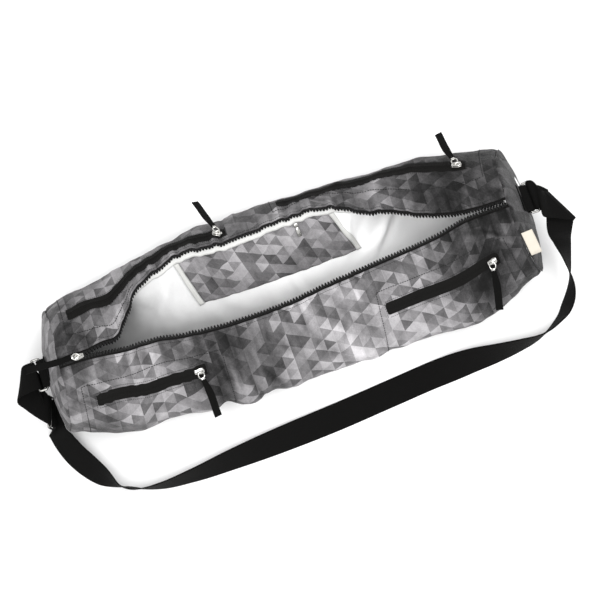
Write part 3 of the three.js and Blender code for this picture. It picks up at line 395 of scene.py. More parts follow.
def minus(tree, a, b):
    return calc(tree, "SUBTRACT", a, b)


def times(tree, a, b):
    return calc(tree, "MULTIPLY", a, b)


def noiseOf(tree, vector, scale, detail=2.0, rough=0.5):
    made = node(tree, "ShaderNodeTexNoise", vector)
    made.inputs["Scale"].default_value = scale
    made.inputs["Detail"].default_value = detail
    made.inputs["Roughness"].default_value = rough
    return made.outputs["Fac"]


def stretched(tree, vector, scale):
    return node(tree, "ShaderNodeVectorMath", vector, scale, operation="MULTIPLY").outputs[0]


def grey(tree, tone, tint=(1.0, 0.97, 1.0)):
    value = calc(tree, "POWER", calc(tree, "MAXIMUM", tone, 0.01), 2.2)
    parts = [times(tree, value, share) for share in tint]
    return node(tree, "ShaderNodeCombineColor", *parts).outputs[0]


def bumpOf(tree, height, strength, distance):
    made = node(tree, "ShaderNodeBump")
    made.inputs["Strength"].default_value = strength
    made.inputs["Distance"].default_value = distance
    tree.links.new(height, made.inputs["Height"])
    return made.outputs["Normal"]


# One random value for each triangle of a mosaic, and the place across its column
def mosaic(tree, u, v, side, seed):
    c = calc(tree, "DIVIDE", u, side * math.sqrt(3) / 2)
    columnNumber = calc(tree, "FLOOR", c)
    across = minus(tree, c, columnNumber)
    odd = times(tree, calc(tree, "FLOORED_MODULO", columnNumber, 2.0), 0.5)
    w = minus(tree, calc(tree, "DIVIDE", v, side), odd)
    low = calc(tree, "FLOOR", w)
    away = calc(tree, "ABSOLUTE", minus(tree, minus(tree, w, low), 0.5))
    inside = calc(tree, "LESS_THAN", away, times(tree, minus(tree, 1.0, across), 0.5))
    other = calc(tree, "FLOOR", plus(tree, w, 0.5))
    row = plus(tree, times(tree, low, inside), times(tree, other, minus(tree, 1.0, inside)))
    vector = node(tree, "ShaderNodeCombineXYZ", columnNumber, row, plus(tree, inside, seed)).outputs[0]
    cell = node(tree, "ShaderNodeVectorMath", vector, (0.5, 0.5, 0.5), operation="ADD").outputs[0]
    value = node(tree, "ShaderNodeTexWhiteNoise", cell, noise_dimensions="3D").outputs["Value"]
    return value, across


# Print of small triangles, tinted in groups by triangles of twice their side. The tone attribute is the mean
# tone of the print at a place, with painted fold shade added on the body panels, and gain widens the range of
# tones with it
def printedCloth():
    sizes = {
        "side": 0.018, "steps": 5.0, "smallShare": 0.62, "range": 0.11, "gain": 0.5, "fade": 0.1,
        "cloudScale": 95.0, "cloud": 0.16, "threadScale": 2600.0, "thread": 0.14, "paintedCreaseShade": 0.18,
        "creaseScale": (80.0, 36.0, 1.0), "crease": 0.9, "threadHeight": 0.08, "bump": 0.9, "deep": 0.004,
    }
    material, tree, shader = newMaterial("printed cloth", 0.72, sheen=0.05, specular=0.22)
    uv = node(tree, "ShaderNodeUVMap", uv_map="cloth").outputs[0]
    parts = node(tree, "ShaderNodeSeparateXYZ", uv).outputs
    small, across = mosaic(tree, parts[0], parts[1], sizes["side"], 0.0)
    large, _ = mosaic(tree, parts[0], parts[1], 2 * sizes["side"], 7.0)
    level = calc(tree, "DIVIDE", calc(tree, "FLOOR", times(tree, small, sizes["steps"])), sizes["steps"] - 1)
    share = sizes["smallShare"]
    swing = minus(tree, plus(tree, times(tree, level, share), times(tree, large, 1 - share)), 0.5)
    tone = node(tree, "ShaderNodeAttribute", attribute_name="tone").outputs["Fac"]
    reach = plus(tree, times(tree, tone, sizes["gain"]), sizes["range"])
    mixed = plus(tree, tone, times(tree, swing, reach))
    fade = times(tree, minus(tree, across, 0.5), minus(tree, large, 0.5))
    mixed = plus(tree, mixed, times(tree, fade, sizes["fade"]))
    cloudy = minus(tree, noiseOf(tree, uv, sizes["cloudScale"], 4.0, 0.62), 0.5)
    mixed = plus(tree, mixed, times(tree, cloudy, sizes["cloud"]))
    fine = sizes["threadScale"]
    warp = noiseOf(tree, stretched(tree, uv, (fine / 10, fine, 1.0)), 1.0, 1.0)
    weft = noiseOf(tree, stretched(tree, uv, (fine, fine / 10, 1.0)), 1.0, 1.0)
    threads = minus(tree, plus(tree, warp, weft), 1.0)
    mixed = plus(tree, mixed, times(tree, threads, sizes["thread"]))
    creases = noiseOf(tree, stretched(tree, uv, sizes["creaseScale"]), 1.0, 3.0, 0.6)
    # The crease noise paints shade into the hollows of the crease bump and a highlight onto its ridges
    paintedCreaseShade = times(tree, minus(tree, creases, 0.5), sizes["paintedCreaseShade"])
    tree.links.new(grey(tree, plus(tree, mixed, paintedCreaseShade)), shader.inputs["Base Color"])
    height = plus(tree, times(tree, creases, sizes["crease"]), times(tree, threads, sizes["threadHeight"]))
    tree.links.new(bumpOf(tree, height, sizes["bump"], sizes["deep"]), shader.inputs["Normal"])
    return material


# Cloth of one colour: scales of its threads and creases, and the tone attribute as painted shade that darkens
# it where shaded
def plainCloth(name, tone, tint, scale, crease, roughness, sheen, shaded=False):
    material, tree, shader = newMaterial(name, roughness, sheen=sheen, specular=0.3)
    place = node(tree, "ShaderNodeTexCoord").outputs["Object"]
    cloudy = minus(tree, noiseOf(tree, place, 40.0, 3.0), 0.5)
    threads = minus(tree, noiseOf(tree, place, scale, 1.0), 0.5)
    mixed = plus(tree, times(tree, cloudy, 0.05), times(tree, threads, 0.05))
    mixed = plus(tree, mixed, tone)
    if shaded:
        shade = node(tree, "ShaderNodeAttribute", attribute_name="tone").outputs["Fac"]
        mixed = times(tree, mixed, shade)
    tree.links.new(grey(tree, mixed, tint), shader.inputs["Base Color"])
    folds = noiseOf(tree, place, crease, 3.0, 0.55)
    height = plus(tree, folds, times(tree, threads, 0.15))
    tree.links.new(bumpOf(tree, height, 0.4, 0.002), shader.inputs["Normal"])
    return material


# Webbing and tape: ribs across the width at a pitch in metres
def ribbed(name, tone, pitch, roughness):
    material, tree, shader = newMaterial(name, roughness, specular=0.1)
    uv = node(tree, "ShaderNodeUVMap", uv_map="cloth").outputs[0]
    parts = node(tree, "ShaderNodeSeparateXYZ", uv).outputs
    turns = 2 * math.pi / pitch
    rib = calc(tree, "SINE", times(tree, parts[0], turns))
    thread = calc(tree, "SINE", times(tree, parts[1], turns * 1.3))
    weave = times(tree, rib, thread)
    fuzz = minus(tree, noiseOf(tree, uv, 700.0, 2.0), 0.5)
    mixed = plus(tree, times(tree, weave, 0.012), times(tree, fuzz, 0.05))
    tree.links.new(grey(tree, plus(tree, mixed, tone), (1.0, 0.96, 0.9)), shader.inputs["Base Color"])
    height = plus(tree, weave, times(tree, fuzz, 0.6))
    tree.links.new(bumpOf(tree, height, 0.5, 0.0003), shader.inputs["Normal"])
    return material


def polishedMetal(name, tone):
    material, tree, shader = newMaterial(name, 0.2, metallic=1.0)
    place = node(tree, "ShaderNodeTexCoord").outputs["Object"]
    wear = noiseOf(tree, place, 900.0, 3.0)
    rough = plus(tree, times(tree, wear, 0.2), 0.1)
    tree.links.new(rough, shader.inputs["Roughness"])
    tree.links.new(grey(tree, plus(tree, times(tree, wear, 0.12), tone), (1.0, 0.99, 0.95)),
                   shader.inputs["Base Color"])
    return material


def mouldedTeeth():
    material, tree, shader = newMaterial("zip teeth", 0.5, specular=0.15)
    place = node(tree, "ShaderNodeTexCoord").outputs["Object"]
    mottle = noiseOf(tree, place, 500.0, 2.0)
    tone = plus(tree, times(tree, mottle, 0.04), 0.06)
    tree.links.new(grey(tree, tone), shader.inputs["Base Color"])
    return material


printed = printedCloth()
lining = plainCloth("lining", 0.96, (0.99, 0.99, 0.99), 1500.0, 26.0, 0.6, 0.05, shaded=True)
facing = plainCloth("facing", 0.83, (1.0, 1.0, 0.98), 1700.0, 60.0, 0.75, 0.05)
binding = plainCloth("binding", 0.76, (1.0, 1.0, 0.97), 1700.0, 60.0, 0.75, 0.05)
tapeCloth = ribbed("zip tape", 0.095, 0.0011, 0.75)
webbing = ribbed("webbing", 0.06, 0.0014, 0.8)
metal = polishedMetal("polished metal", 0.74)
# The same polished metal darkened as painted shade, for the rings and the strap slider
shadedMetal = polishedMetal("shaded metal", 0.5)
teethPlastic = mouldedTeeth()
labelCloth = plainCloth("label", 0.77, (1.0, 0.93, 0.8), 2200.0, 120.0, 0.85, 0.1)
thread = plainCloth("thread", 0.13, (1.0, 1.0, 1.02), 2500.0, 200.0, 0.8, 0.0)
print("materials")

# Pocket zips on the outside: middle line as shares of the length and of the half girth
pocket = {
    "width": 17.0, "corner": 3.0, "recess": 1.7, "rim": 0.7, "rimWidth": 1.5, "rimAt": 1.8, "edge": 0.9,
    "shallow": 0.25, "tuck": 1.2,
}
zipLines = {
    "front_left": (-1, [[0.06, 0.79], [0.11, 0.812], [0.17, 0.786], [0.284, 0.82]]),
    "front_right": (-1, [[0.674, 0.785], [0.932, 0.785]]),
    "back_left": (1, [[0.045, 0.79], [0.12, 0.785], [0.195, 0.88], [0.28, 0.92], [0.41, 0.93]]),
    "back_right": (1, [[0.535, 0.85], [0.6, 0.86], [0.7, 0.78], [0.8, 0.72], [0.93, 0.75]]),
}
pullLean = {"front_left": 12, "front_right": -20, "back_left": -18, "back_right": -26}


def zipAcross(name, at):
    rows = np.array(zipLines[name][1])
    if len(rows) == 2:
        return np.interp(at, rows[:, 0], rows[:, 1])
    return hermite(rows[:, 0], rows[:, 1], at)


# Signed distance from the edge of a pocket zip, in millimetres over the grid of the skin
def zipDistance(name):
    side, rows = zipLines[name]
    first, last = rows[0][0], rows[-1][0]
    run = np.abs((atGrid - (first + last) / 2) * body["length"])
    off = np.abs(np.abs(aroundGrid) - zipAcross(name, atGrid)) * girthGrid
    corner = pocket["corner"]
    qx = run - (last - first) * body["length"] / 2 - 1 + corner
    qy = off - pocket["width"] / 2 + corner
    distance = np.hypot(np.maximum(qx, 0), np.maximum(qy, 0)) + np.minimum(np.maximum(qx, qy), 0) - corner
    return np.where(np.sign(aroundGrid) == side, distance, 99.0)


recess = np.zeros_like(arc)
for name in zipLines:
    distance = zipDistance(name)
    inside = smooth(-distance, -pocket["edge"], pocket["edge"])
    deep = 1.0 if name.startswith("front") else pocket["shallow"]
    recess += -pocket["recess"] * inside
    recess += deep * pocket["rim"] * np.exp(-((distance - pocket["rimAt"]) / pocket["rimWidth"]) ** 2)
cloth = skin + skinNormals * recess[..., None]
for edge, within in ((0, 3), (-1, -4)):
    beyond = unit(plain[:, edge] - plain[:, within])
    cloth[:, edge] += 1.5 * beyond
    cloth[:, edge + (1 if edge == 0 else -1)] += 0.5 * beyond
clothNormals = normalsOf(cloth)
fineCloth = (cloth, clothNormals)

# Tone of the print along the bag, for the top and the lower front and the top and the lower back
toneRows = np.array([
    [0.0, 0.35, 0.38, 0.3, 0.33],
    [0.05, 0.33, 0.33, 0.27, 0.29],
    [0.09, 0.4, 0.38, 0.38, 0.3],
    [0.14, 0.5, 0.44, 0.43, 0.35],
    [0.2, 0.46, 0.54, 0.4, 0.34],
    [0.26, 0.34, 0.54, 0.34, 0.31],
    [0.31, 0.22, 0.36, 0.3, 0.29],
    [0.37, 0.26, 0.4, 0.31, 0.31],
    [0.42, 0.36, 0.36, 0.32, 0.34],
    [0.47, 0.44, 0.48, 0.3, 0.4],
    [0.53, 0.56, 0.68, 0.38, 0.48],
    [0.6, 0.46, 0.64, 0.36, 0.42],
    [0.66, 0.48, 0.6, 0.35, 0.43],
    [0.73, 0.49, 0.58, 0.39, 0.37],
    [0.79, 0.37, 0.46, 0.31, 0.28],
    [0.85, 0.22, 0.35, 0.22, 0.21],
    [0.91, 0.16, 0.28, 0.15, 0.17],
    [1.0, 0.15, 0.19, 0.15, 0.17],
])


def toneOf(at, around):
    frontTop, frontLow, backTop, backLow = (np.interp(at, toneRows[:, 0], row) for row in toneRows[:, 1:].T)
    low = 1 - smooth(np.abs(around), 0.45, 0.8)
    return np.where(around < 0, frontTop * (1 - low) + frontLow * low, backTop * (1 - low) + backLow * low)


# Painted shade in the hollows of the folds and painted highlight on their ridges, added to the tone of the
# print
paintedFoldShade = 0.034
printToneAndFoldShade = toneOf(atGrid, aroundGrid) + paintedFoldShade * offFloor * np.clip(folded + wrinkled, -6, 3.5)
seam = int(round((1 - 0.15) * halfSteps))
clothUv = np.stack([alongGrid, arc + 300], axis=-1)
for name, columns in (("front_panel", slice(0, seam + 1)), ("back_panel", slice(seam, None))):
    points = cloth[:, columns]
    panel = addMesh(name + "_cloth", points, quads(*points.shape[:2]), "printed_cloth", printed,
                    uv=clothUv[:, columns], tone=printToneAndFoldShade[:, columns])
    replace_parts(thicken(panel, body["wall"]), name)
print("panels")


# Tape of each pocket zip, just below the cloth round it
def strip(name, at, rounds, offset, slot, material, wall=0.8):
    points, _ = onSkin(at, rounds, offset)
    run, off = farAlong(points[:, 0]), farAlong(points[0])
    uv = np.stack(np.broadcast_arrays(run[:, None], off[None, :]), axis=-1)
    made = addMesh(name, points, quads(*points.shape[:2]), slot, material, uv=uv)
    return thicken(made, wall)


for name, (side, rows) in zipLines.items():
    first, last = rows[0][0], rows[-1][0]
    steps = int((last - first) * body["length"] / 2)
    at = np.linspace(first - 0.003, last + 0.003, steps)
    across = np.linspace(-1, 1, 15) * (pocket["width"] / 2 + pocket["tuck"])
    line = zipAcross(name, np.clip(at, first, last))
    around = side * (line[:, None] + across[None, :] * side / girthAt(at, side)[:, None])
    ridge = 0.5 * np.exp(-((np.abs(across) - 1.5) / 0.7) ** 2) - 0.35 * np.exp(-(across / 0.6) ** 2)
    sink = 0.75 if name.startswith("front") else -0.1
    tape = strip(f"pocket_zip_{name}_tape", at[:, None], around, (ridge - sink)[None, :], "zip_tape",
                 tapeCloth)
    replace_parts(tape, f"pocket_zip_tape_{name}")


# A run of stitches over the cloth, through spots given as shares
def smoothBox(long, wide, high):
    xs = np.array([-0.5, -0.3, 0.3, 0.5]) * long
    lift = np.array([-0.8, 0.0, 0.0, -0.8]) * high
    points = [[x, y, z + up] for x, up in zip(xs, lift)
              for y, z in ((-wide / 2, 0), (wide / 2, 0), (wide / 2, high), (-wide / 2, high))]
    faces = [[3, 2, 1, 0], [12, 13, 14, 15]]
    for k in range(3):
        for c in range(4):
            a, b = 4 * k + c, 4 * k + (c + 1) % 4
            faces.append([a, b, b + 4, a + 4])
    return np.array(points), faces


def stitches(name, paths, pitch=3.4, length=2.4, wire=0.8, grid=None, material=None):
    spots, runs, ups = [], [], []
    for at, around in paths:
        points, normals = onSkin(np.asarray(at), np.asarray(around), 0.0, grid or fineCloth)
        far = farAlong(points)
        places = np.arange(pitch / 2, far[-1] - pitch / 2, pitch)
        runs.append(unit(rowsAt(places + length / 2, far, points) - rowsAt(places - length / 2, far, points)))
        spots.append(rowsAt(places, far, points))
        ups.append(rowsAt(places, far, normals))
    spots, runs, ups = map(np.concatenate, (spots, runs, ups))
    ups = unit(ups - runs * np.sum(ups * runs, axis=-1, keepdims=True))
    return addMany(name, smoothBox(length, wire, wire * 0.7), spots, runs, np.cross(ups, runs), ups,
                   "zip_tape", material or thread)


def straight(a, b, steps=80):
    return np.linspace(a[0], b[0], steps), np.linspace(a[1], b[1], steps)


def outlineOf(name, out):
    side, rows = zipLines[name]
    at = np.linspace(rows[0][0], rows[-1][0], 90)
    edge = (pocket["width"] / 2 + out) / girthAt(at, side)
    line = zipAcross(name, at)
    more = out / body["length"]
    ends = [(at[0] - more, line[0], edge[0]), (at[-1] + more, line[-1], edge[-1])]
    paths = [(at, side * (line + edge)), (at, side * (line - edge))]
    for where, mid, half in ends:
        paths.append(straight((where, side * (mid - half)), (where, side * (mid + half)), 12))
    return paths


pocketSeams = [
    [(0.033, -0.88), (0.326, -0.905)], [(0.033, -0.88), (0.036, -0.47)], [(0.326, -0.905), (0.321, -0.57)],
    [(0.664, -0.885), (0.962, -0.875)], [(0.664, -0.885), (0.64, -0.44)], [(0.962, -0.875), (0.972, -0.55)],
    [(0.03, 0.9), (0.2, 0.97)], [(0.03, 0.9), (0.032, 0.55)],
    [(0.52, 0.93), (0.72, 0.87)], [(0.72, 0.87), (0.965, 0.86)], [(0.965, 0.86), (0.965, 0.5)],
    [(0.52, 0.93), (0.515, 0.6)],
]
stitches("stitches_pockets", [straight(a, b) for a, b in pocketSeams])
stitches("stitches_zips", [path for name in zipLines for path in outlineOf(name, 2.4)], 2.8, 2.0, 0.5)
lipLine = np.linspace(0.012, 0.988, 400)
stitches("stitches_mouth", [
    (lipLine, side * (1 - 2.6 / girthAt(lipLine, side))) for side in (-1, 1)
], 2.8, 2.0, 0.5)
tacks = []
for name, (side, rows) in zipLines.items():
    at, across = rows[-1][0] + 2.4 / body["length"], rows[-1][1]
    for shift in np.linspace(-1, 1, 7):
        middle = side * (across + shift * pocket["width"] / 2 / girthAt(at, side))
        lean = 1.4 / girthAt(at, side)
        tacks.append(([at - 0.0012, at + 0.005], [middle - lean, middle + lean]))
stitches("stitches_tacks", [straight(*zip(*tack), steps=9) for tack in tacks], 3.0, 2.6, 1.0)
print("stitches")


# Round ends
def endSurface(end, inset, shift, bulge, rings, seed):
    index = 0 if end < 0 else alongSteps
    rim, _ = sample(skin, skinNormals, np.full(len(arounds), index), np.arange(len(arounds)), -inset)
    bridge = rim[-1:] + (rim[:1] - rim[-1:]) * np.linspace(0.12, 0.88, 7)[:, None]
    rim = np.concatenate([rim, bridge])
    middle = np.array([0.0, column("crown", 0 if end < 0 else 1) * radius / 2])
    shares = np.linspace(1, 0.02, rings)[:, None]
    y = middle[0] + shares * (rim[None, :, 1] - middle[0])
    z = middle[1] + shares * (rim[None, :, 2] - middle[1])
    x = placeX(0.0 if end < 0 else 1.0, y, z) + end * (shift + bulge * (1 - shares ** 2))
    angle = np.arctan2(z - middle[1], y - middle[0])
    puckers = noise(angle * 9 + 40, shares * 3 + 0 * angle, seed) * shares ** 3 * 1.3
    waves = 1.6 * noise(y / 34 + 9, z / 28, seed + 1) + 0.6 * noise(y / 15 + 9, z / 13, seed + 2)
    edge = -1.8 * np.exp(-((1 - shares) / 0.025) ** 2)
    x += end * (puckers + waves * (1 - shares ** 6) + edge)
    return np.stack([x, y, z], axis=-1)


def endPiece(name, end, points, slot, material, tone, replaced, wall):
    rings, count = points.shape[:2]
    faces = quads(rings, count, closed=True)
    if end > 0:
        faces = faces[:, ::-1]
    closing = list(range((rings - 1) * count, rings * count))
    faces = [list(f) for f in faces] + [closing[::-1] if end > 0 else closing]
    uv = np.stack([points[..., 1] + 400, points[..., 2]], axis=-1)
    made = addMesh(name, points, faces, slot, material, uv=uv, tone=np.full(points.shape[:2], tone))
    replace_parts(thicken(made, wall), replaced)
    return made


for label, end, tone in (("left", -1, 0.4), ("right", 1, 0.2)):
    outer = endSurface(end, 0, body["gap"] + body["wall"], body["bulge"], 26, 21 if end < 0 else 31)
    endPiece(f"end_panel_{label}_cloth", end, outer, "printed_cloth", printed, tone,
             f"end_panel_{label}", body["wall"])
    inner = endSurface(end, 4.3, -body["gap"], body["bulge"], 12, 41 if end < 0 else 51)
    # The left lining end is darkened as painted shade
    endPiece(f"lining_end_{label}_cloth", end, inner, "lining", lining, 0.6 if end < 0 else 1.0,
             f"lining_end_{label}", 0.8)
print("ends")

# Linings: one on the front panel, and a slack one that hangs from the back lip
inFront = np.arange(0, halfSteps + 1, 2)
frontAts = np.linspace(0.004, 0.996, 142)
points, _ = onSkin(frontAts[:, None], (-0.995 + 0.985 * inFront / halfSteps)[None, :], -2.5)


# Painted shade: the lining is darkened most in the closed left end, and a little up to the middle
def shadeOf(at):
    return 0.48 + 0.4 * smooth(at, 0.11, 0.215) + 0.12 * smooth(at, 0.25, 0.5)


liningFront = addMesh("lining_front_cloth", points, quads(*points.shape[:2])[:, ::-1], "lining", lining,
                      tone=np.broadcast_to(shadeOf(frontAts)[:, None], points.shape[:2]))
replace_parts(thicken(liningFront, 0.8, 1.0), "lining_front")

hang = {"steps": 64, "foot": 0.03, "rise": 0.6, "lipIn": 0.25, "lipDrop": 0.85}
linerAts = np.linspace(0, 1, 226)
liner = np.zeros((len(linerAts), hang["steps"] + 1, 3))
for i, at in enumerate(linerAts):
    shares = np.linspace(0, 1, hang["steps"] + 1)
    shell, _ = onSkin(np.full(len(shares), at), 1 - shares, -body["layer"])
    lip = shell[0]
    curve = bezier(
        lip[1:], np.array([lip[1] - hang["lipIn"] * radius, hang["lipDrop"] * lip[2]]),
        np.array([hang["foot"] * radius, hang["rise"] * radius]), np.array([0.0, body["layer"] + 0.8]), 60,
    )
    far = np.concatenate([[0], np.cumsum(np.hypot(*np.diff(curve, axis=0).T))])
    y = np.interp(shares * far[-1], far, curve[:, 0])
    z = np.interp(shares * far[-1], far, curve[:, 1])
    loose = np.stack([placeX(at, y, z), y, z], axis=-1)
    slack = float(np.clip(column("slack", at), 0, 1))
    liner[i] = (shell * (1 - slack) + loose * slack)[::-1]
linerNormals = normalsOf(liner)
u, v = np.meshgrid(linerAts * body["length"], np.linspace(0, 190, hang["steps"] + 1), indexing="ij")
ripple = 2.2 * noise(u / 55, v / 70, 61) + 1.1 * noise((u + 0.4 * v) / 22, v / 60, 62)
ripple += 0.4 * noise(u / 9, v / 40, 63)
for at, across, length, width, depth, turnBy in (
    (0.655, 140, 46, 6.0, -7.0, 78), (0.68, 120, 50, 9.0, 3.5, 70), (0.73, 96, 50, 8.0, -5.0, 40),
    (0.76, 84, 44, 9.0, 4.0, 36), (0.79, 90, 40, 7.0, -4.0, 32), (0.7, 70, 46, 9.0, -4.0, 58),
    (0.24, 110, 60, 9.0, -3.5, 70), (0.2, 90, 60, 9.0, 3.5, 60), (0.42, 40, 60, 10.0, -2.0, 80),
    (0.52, 44, 50, 7.0, -1.6, 100), (0.6, 60, 50, 8.0, 2.2, 84),
):
    run, off = u - at * body["length"], v - across
    c, s = math.cos(math.radians(turnBy)), math.sin(math.radians(turnBy))
    ripple += depth * np.exp(-((run * c + off * s) / length) ** 2 - ((off * c - run * s) / width) ** 2)
ripple *= np.clip((190 - v) / 40, 0, 1) * smooth(v, 0, 25) * column("slack", linerAts)[:, None]
liner = liner + linerNormals * ripple[..., None]
linerNormals = normalsOf(liner)
liningBack = addMesh("lining_back_cloth", liner, quads(*liner.shape[:2])[:, ::-1], "lining", lining,
                     tone=np.broadcast_to(shadeOf(linerAts)[:, None], liner.shape[:2]))
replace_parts(thicken(liningBack, 0.8, 1.0), "lining_back")


# A spot on the slack lining: share of the length, and millimetres below the lip
linerStep = np.linalg.norm(np.diff(liner[112], axis=0), axis=-1).sum() / hang["steps"]


def linerSpot(at, below, offset):
    at, below, offset = np.broadcast_arrays(at, below, offset)
    return sample(liner, linerNormals, at * (len(linerAts) - 1), hang["steps"] - below / linerStep, offset)


def linerPatch(name, span, belows, slant, offset, slot, material, tone=None, wall=0.8, hump=0.0):
    at = np.linspace(*span, max(4, int((span[1] - span[0]) * body["length"] / 3)))
    below = np.linspace(*belows, max(4, int((belows[1] - belows[0]) / 3)))
    slide = slant * (below - belows[0]) / (belows[1] - belows[0])
    edge = np.minimum(np.minimum(below - belows[0], belows[1] - below)[None, :],
                      (np.minimum(at - span[0], span[1] - at) * body["length"])[:, None])
    raised = offset - hump * smooth(edge, 0, 14)
    points, _ = linerSpot(at[:, None] + slide[None, :], below[None, :], raised)
    uv = np.stack(np.broadcast_arrays(at[:, None] * body["length"], below[None, :]), axis=-1)
    shade = None if tone is None else np.full(points.shape[:2], tone)
    made = addMesh(name, points, quads(*points.shape[:2]), slot, material, uv=uv, tone=shade)
    return thicken(made, wall)


inner = {"from": 0.3, "to": 0.628, "slant": 0.026, "height": 73.0, "top": 11.5, "binding": 7.0}
facingCloth = linerPatch("facing_back_cloth", (0.16, 0.88), (1.5, inner["top"]), 0.0, -2.6, "facing", facing)
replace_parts(facingCloth, "facing_back")
low = inner["top"] + inner["height"]
pocketPanel = linerPatch("inner_pocket_cloth", (inner["from"], inner["to"]), (inner["top"] + 0.6, low),
                         inner["slant"], -2.2, "printed_cloth", printed, tone=0.46, hump=1.8)
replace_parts(pocketPanel, "inner_pocket")
wide = inner["binding"] / body["length"]
for name, start in (("left", inner["from"] - wide - 0.001), ("right", inner["to"] + 0.001)):
    edging = linerPatch(f"binding_{name}_cloth", (start, start + wide), (inner["top"] + 0.6, low + 1),
                        inner["slant"], -3.2, "facing", binding)
    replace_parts(edging, f"inner_pocket_binding_{name}")
print("linings")


# Main zip: tape and teeth on both lips
def lipFrame(side):
    edge, within = (0, 3) if side < 0 else (-1, -4)
    beyond = unit(plain[:, edge] - plain[:, within])
    along = unit(np.gradient(plain[:, edge], axis=0))
    return skin[:, edge], beyond, along, unit(side * np.cross(beyond, along))


toothForm = {"pitch": 4.3, "wide": 3.4, "high": 2.6, "neck": 2.0, "head": 2.1, "reach": 4.8, "sink": 0.5}


def toothShape():
    size = toothForm
    neck = size["neck"]
    outline = [(-0.8, 0.5), (neck - 0.6, 0.5), (neck + 0.3, 0.42), (neck + size["head"], 0.12)]
    points = [[end * half * size["wide"], y, z * size["high"]]
              for y, half in outline for z in (-0.5, 0.5) for end in (-1, 1)]
    faces = [[0, 1, 3, 2], [12, 14, 15, 13]]
    for k in range(3):
        a = 4 * k
        faces += [[a, a + 4, a + 5, a + 1], [a + 2, a + 3, a + 7, a + 6], [a, a + 2, a + 6, a + 4],
                  [a + 1, a + 5, a + 7, a + 3]]
    return np.array(points, float), faces


for name, side in (("front", -1), ("back", 1)):
    lip, beyond, along, out = lipFrame(side)
    reach = np.array([-2.0, 0.4, 1.6, 3.2, 4.6, 5.4])
    sink = np.array([-1.6, -0.9, -0.7, -0.6, -0.45, -0.3])
    points = lip[:, None] + beyond[:, None] * reach[None, :, None] + out[:, None] * sink[None, :, None]
    run = np.broadcast_to((ats * body["length"])[:, None], points.shape[:2])
    uv = np.stack([run, np.broadcast_to(reach[None, :], points.shape[:2])], axis=-1)
    faces = quads(*points.shape[:2])
    tape = addMesh(f"zip_tape_{name}_cloth", points, faces[:, ::-1] if side < 0 else faces, "zip_tape",
                   tapeCloth, uv=uv)
    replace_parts(thicken(tape, 0.8), f"zip_tape_{name}")
    far = farAlong(lip)
    places = np.arange(4 + (0 if side < 0 else toothForm["pitch"] / 2), far[-1] - 3, toothForm["pitch"])
    spots, beyond, along, out = (rowsAt(places, far, rows) for rows in (lip, beyond, along, out))
    spots += beyond * toothForm["reach"] - out * toothForm["sink"]
    teeth = addMany(f"zip_teeth_{name}_row", toothShape(), spots, side * along, beyond, out, "zip_teeth",
                    teethPlastic, sharp=True)
    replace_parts(teeth, f"zip_teeth_{name}")
print("zip")


# Tube along a path of spots
def tubePoints(path, wire, closed=False, sides=10):
    path = np.asarray(path, float)
    ahead = np.roll(path, -1, axis=0) - np.roll(path, 1, axis=0)
    if not closed:
        ahead[0], ahead[-1] = path[1] - path[0], path[-1] - path[-2]
    ahead = unit(ahead)
    normal = np.cross(ahead[0], [0.3, 0.2, 0.9])
    frames = []
    for run in ahead:
        normal = unit(normal - run * (normal @ run))
        frames.append((normal, np.cross(run, normal)))
    angles = np.linspace(0, 2 * math.pi, sides, endpoint=False)
    return np.array([
        [spot + wire * (math.cos(a) * n + math.sin(a) * b) for a in angles]
        for spot, (n, b) in zip(path, frames)
    ])


def tubeFaces(points, closed, base=0):
    rows, sides = points.shape[:2]
    index = np.arange(rows * sides).reshape(rows, sides)
    index = np.concatenate([index, index[:, :1]], axis=1)
    if closed:
        index = np.concatenate([index, index[:1]], axis=0)
    faces = np.stack([index[:-1, :-1], index[:-1, 1:], index[1:, 1:], index[1:, :-1]], -1)
    faces = faces.reshape(-1, 4).tolist()
    if not closed:
        faces += [list(range(sides))[::-1], list(range((rows - 1) * sides, rows * sides))]
    return [[c + base for c in f] for f in faces]


def roundedPath(long, wide, corner, steps=6):
    path = []
    for sx, sy, start in ((1, 1, 0), (-1, 1, 90), (-1, -1, 180), (1, -1, 270)):
        for k in range(steps + 1):
            a = math.radians(start + 90 * k / steps)
            path.append((sx * (long / 2 - corner) + corner * math.cos(a),
                         sy * (wide / 2 - corner) + corner * math.sin(a)))
    return np.array(path)


# Shape joined from closed parts, each (points, faces)
def joined(parts):
    points, faces = [], []
    for part, cells in parts:
        base = sum(len(p) for p in points)
        points.append(np.asarray(part, float).reshape(-1, 3))
        faces += [[c + base for c in cell] for cell in cells]
    return np.concatenate(points), faces


# Slab of an outline between two heights, with bevelled edges
def slabOf(outline, low, high, bevel):
    outline = np.asarray(outline, float)
    middle = outline.mean(axis=0)
    rings = [(low, bevel), (low + bevel, 0), (high - bevel, 0), (high, bevel)]
    points = []
    for z, cut in rings:
        size = np.linalg.norm(outline - middle, axis=-1, keepdims=True)
        ring = middle + (outline - middle) * (1 - cut / size)
        points.append(np.column_stack([ring, np.full(len(outline), z)]))
    count = len(outline)
    faces = [list(range(count))[::-1], list(range(3 * count, 4 * count))]
    for k in range(3):
        faces += [[k * count + c, k * count + (c + 1) % count, (k + 1) * count + (c + 1) % count,
                   (k + 1) * count + c] for c in range(count)]
    return np.concatenate(points), faces


slider = {
    "high": 3.2, "ring": 4.9, "wire": 0.9, "bridge": 0.9,
    "outline": [(-1, -3.4), (2.2, -4.0), (4.6, -3.6), (6.5, -1.8), (6.5, 1.8), (4.6, 3.6), (2.2, 4.0),
                (-1, 3.4), (-6.5, 2.4), (-6.5, -2.4)],
}


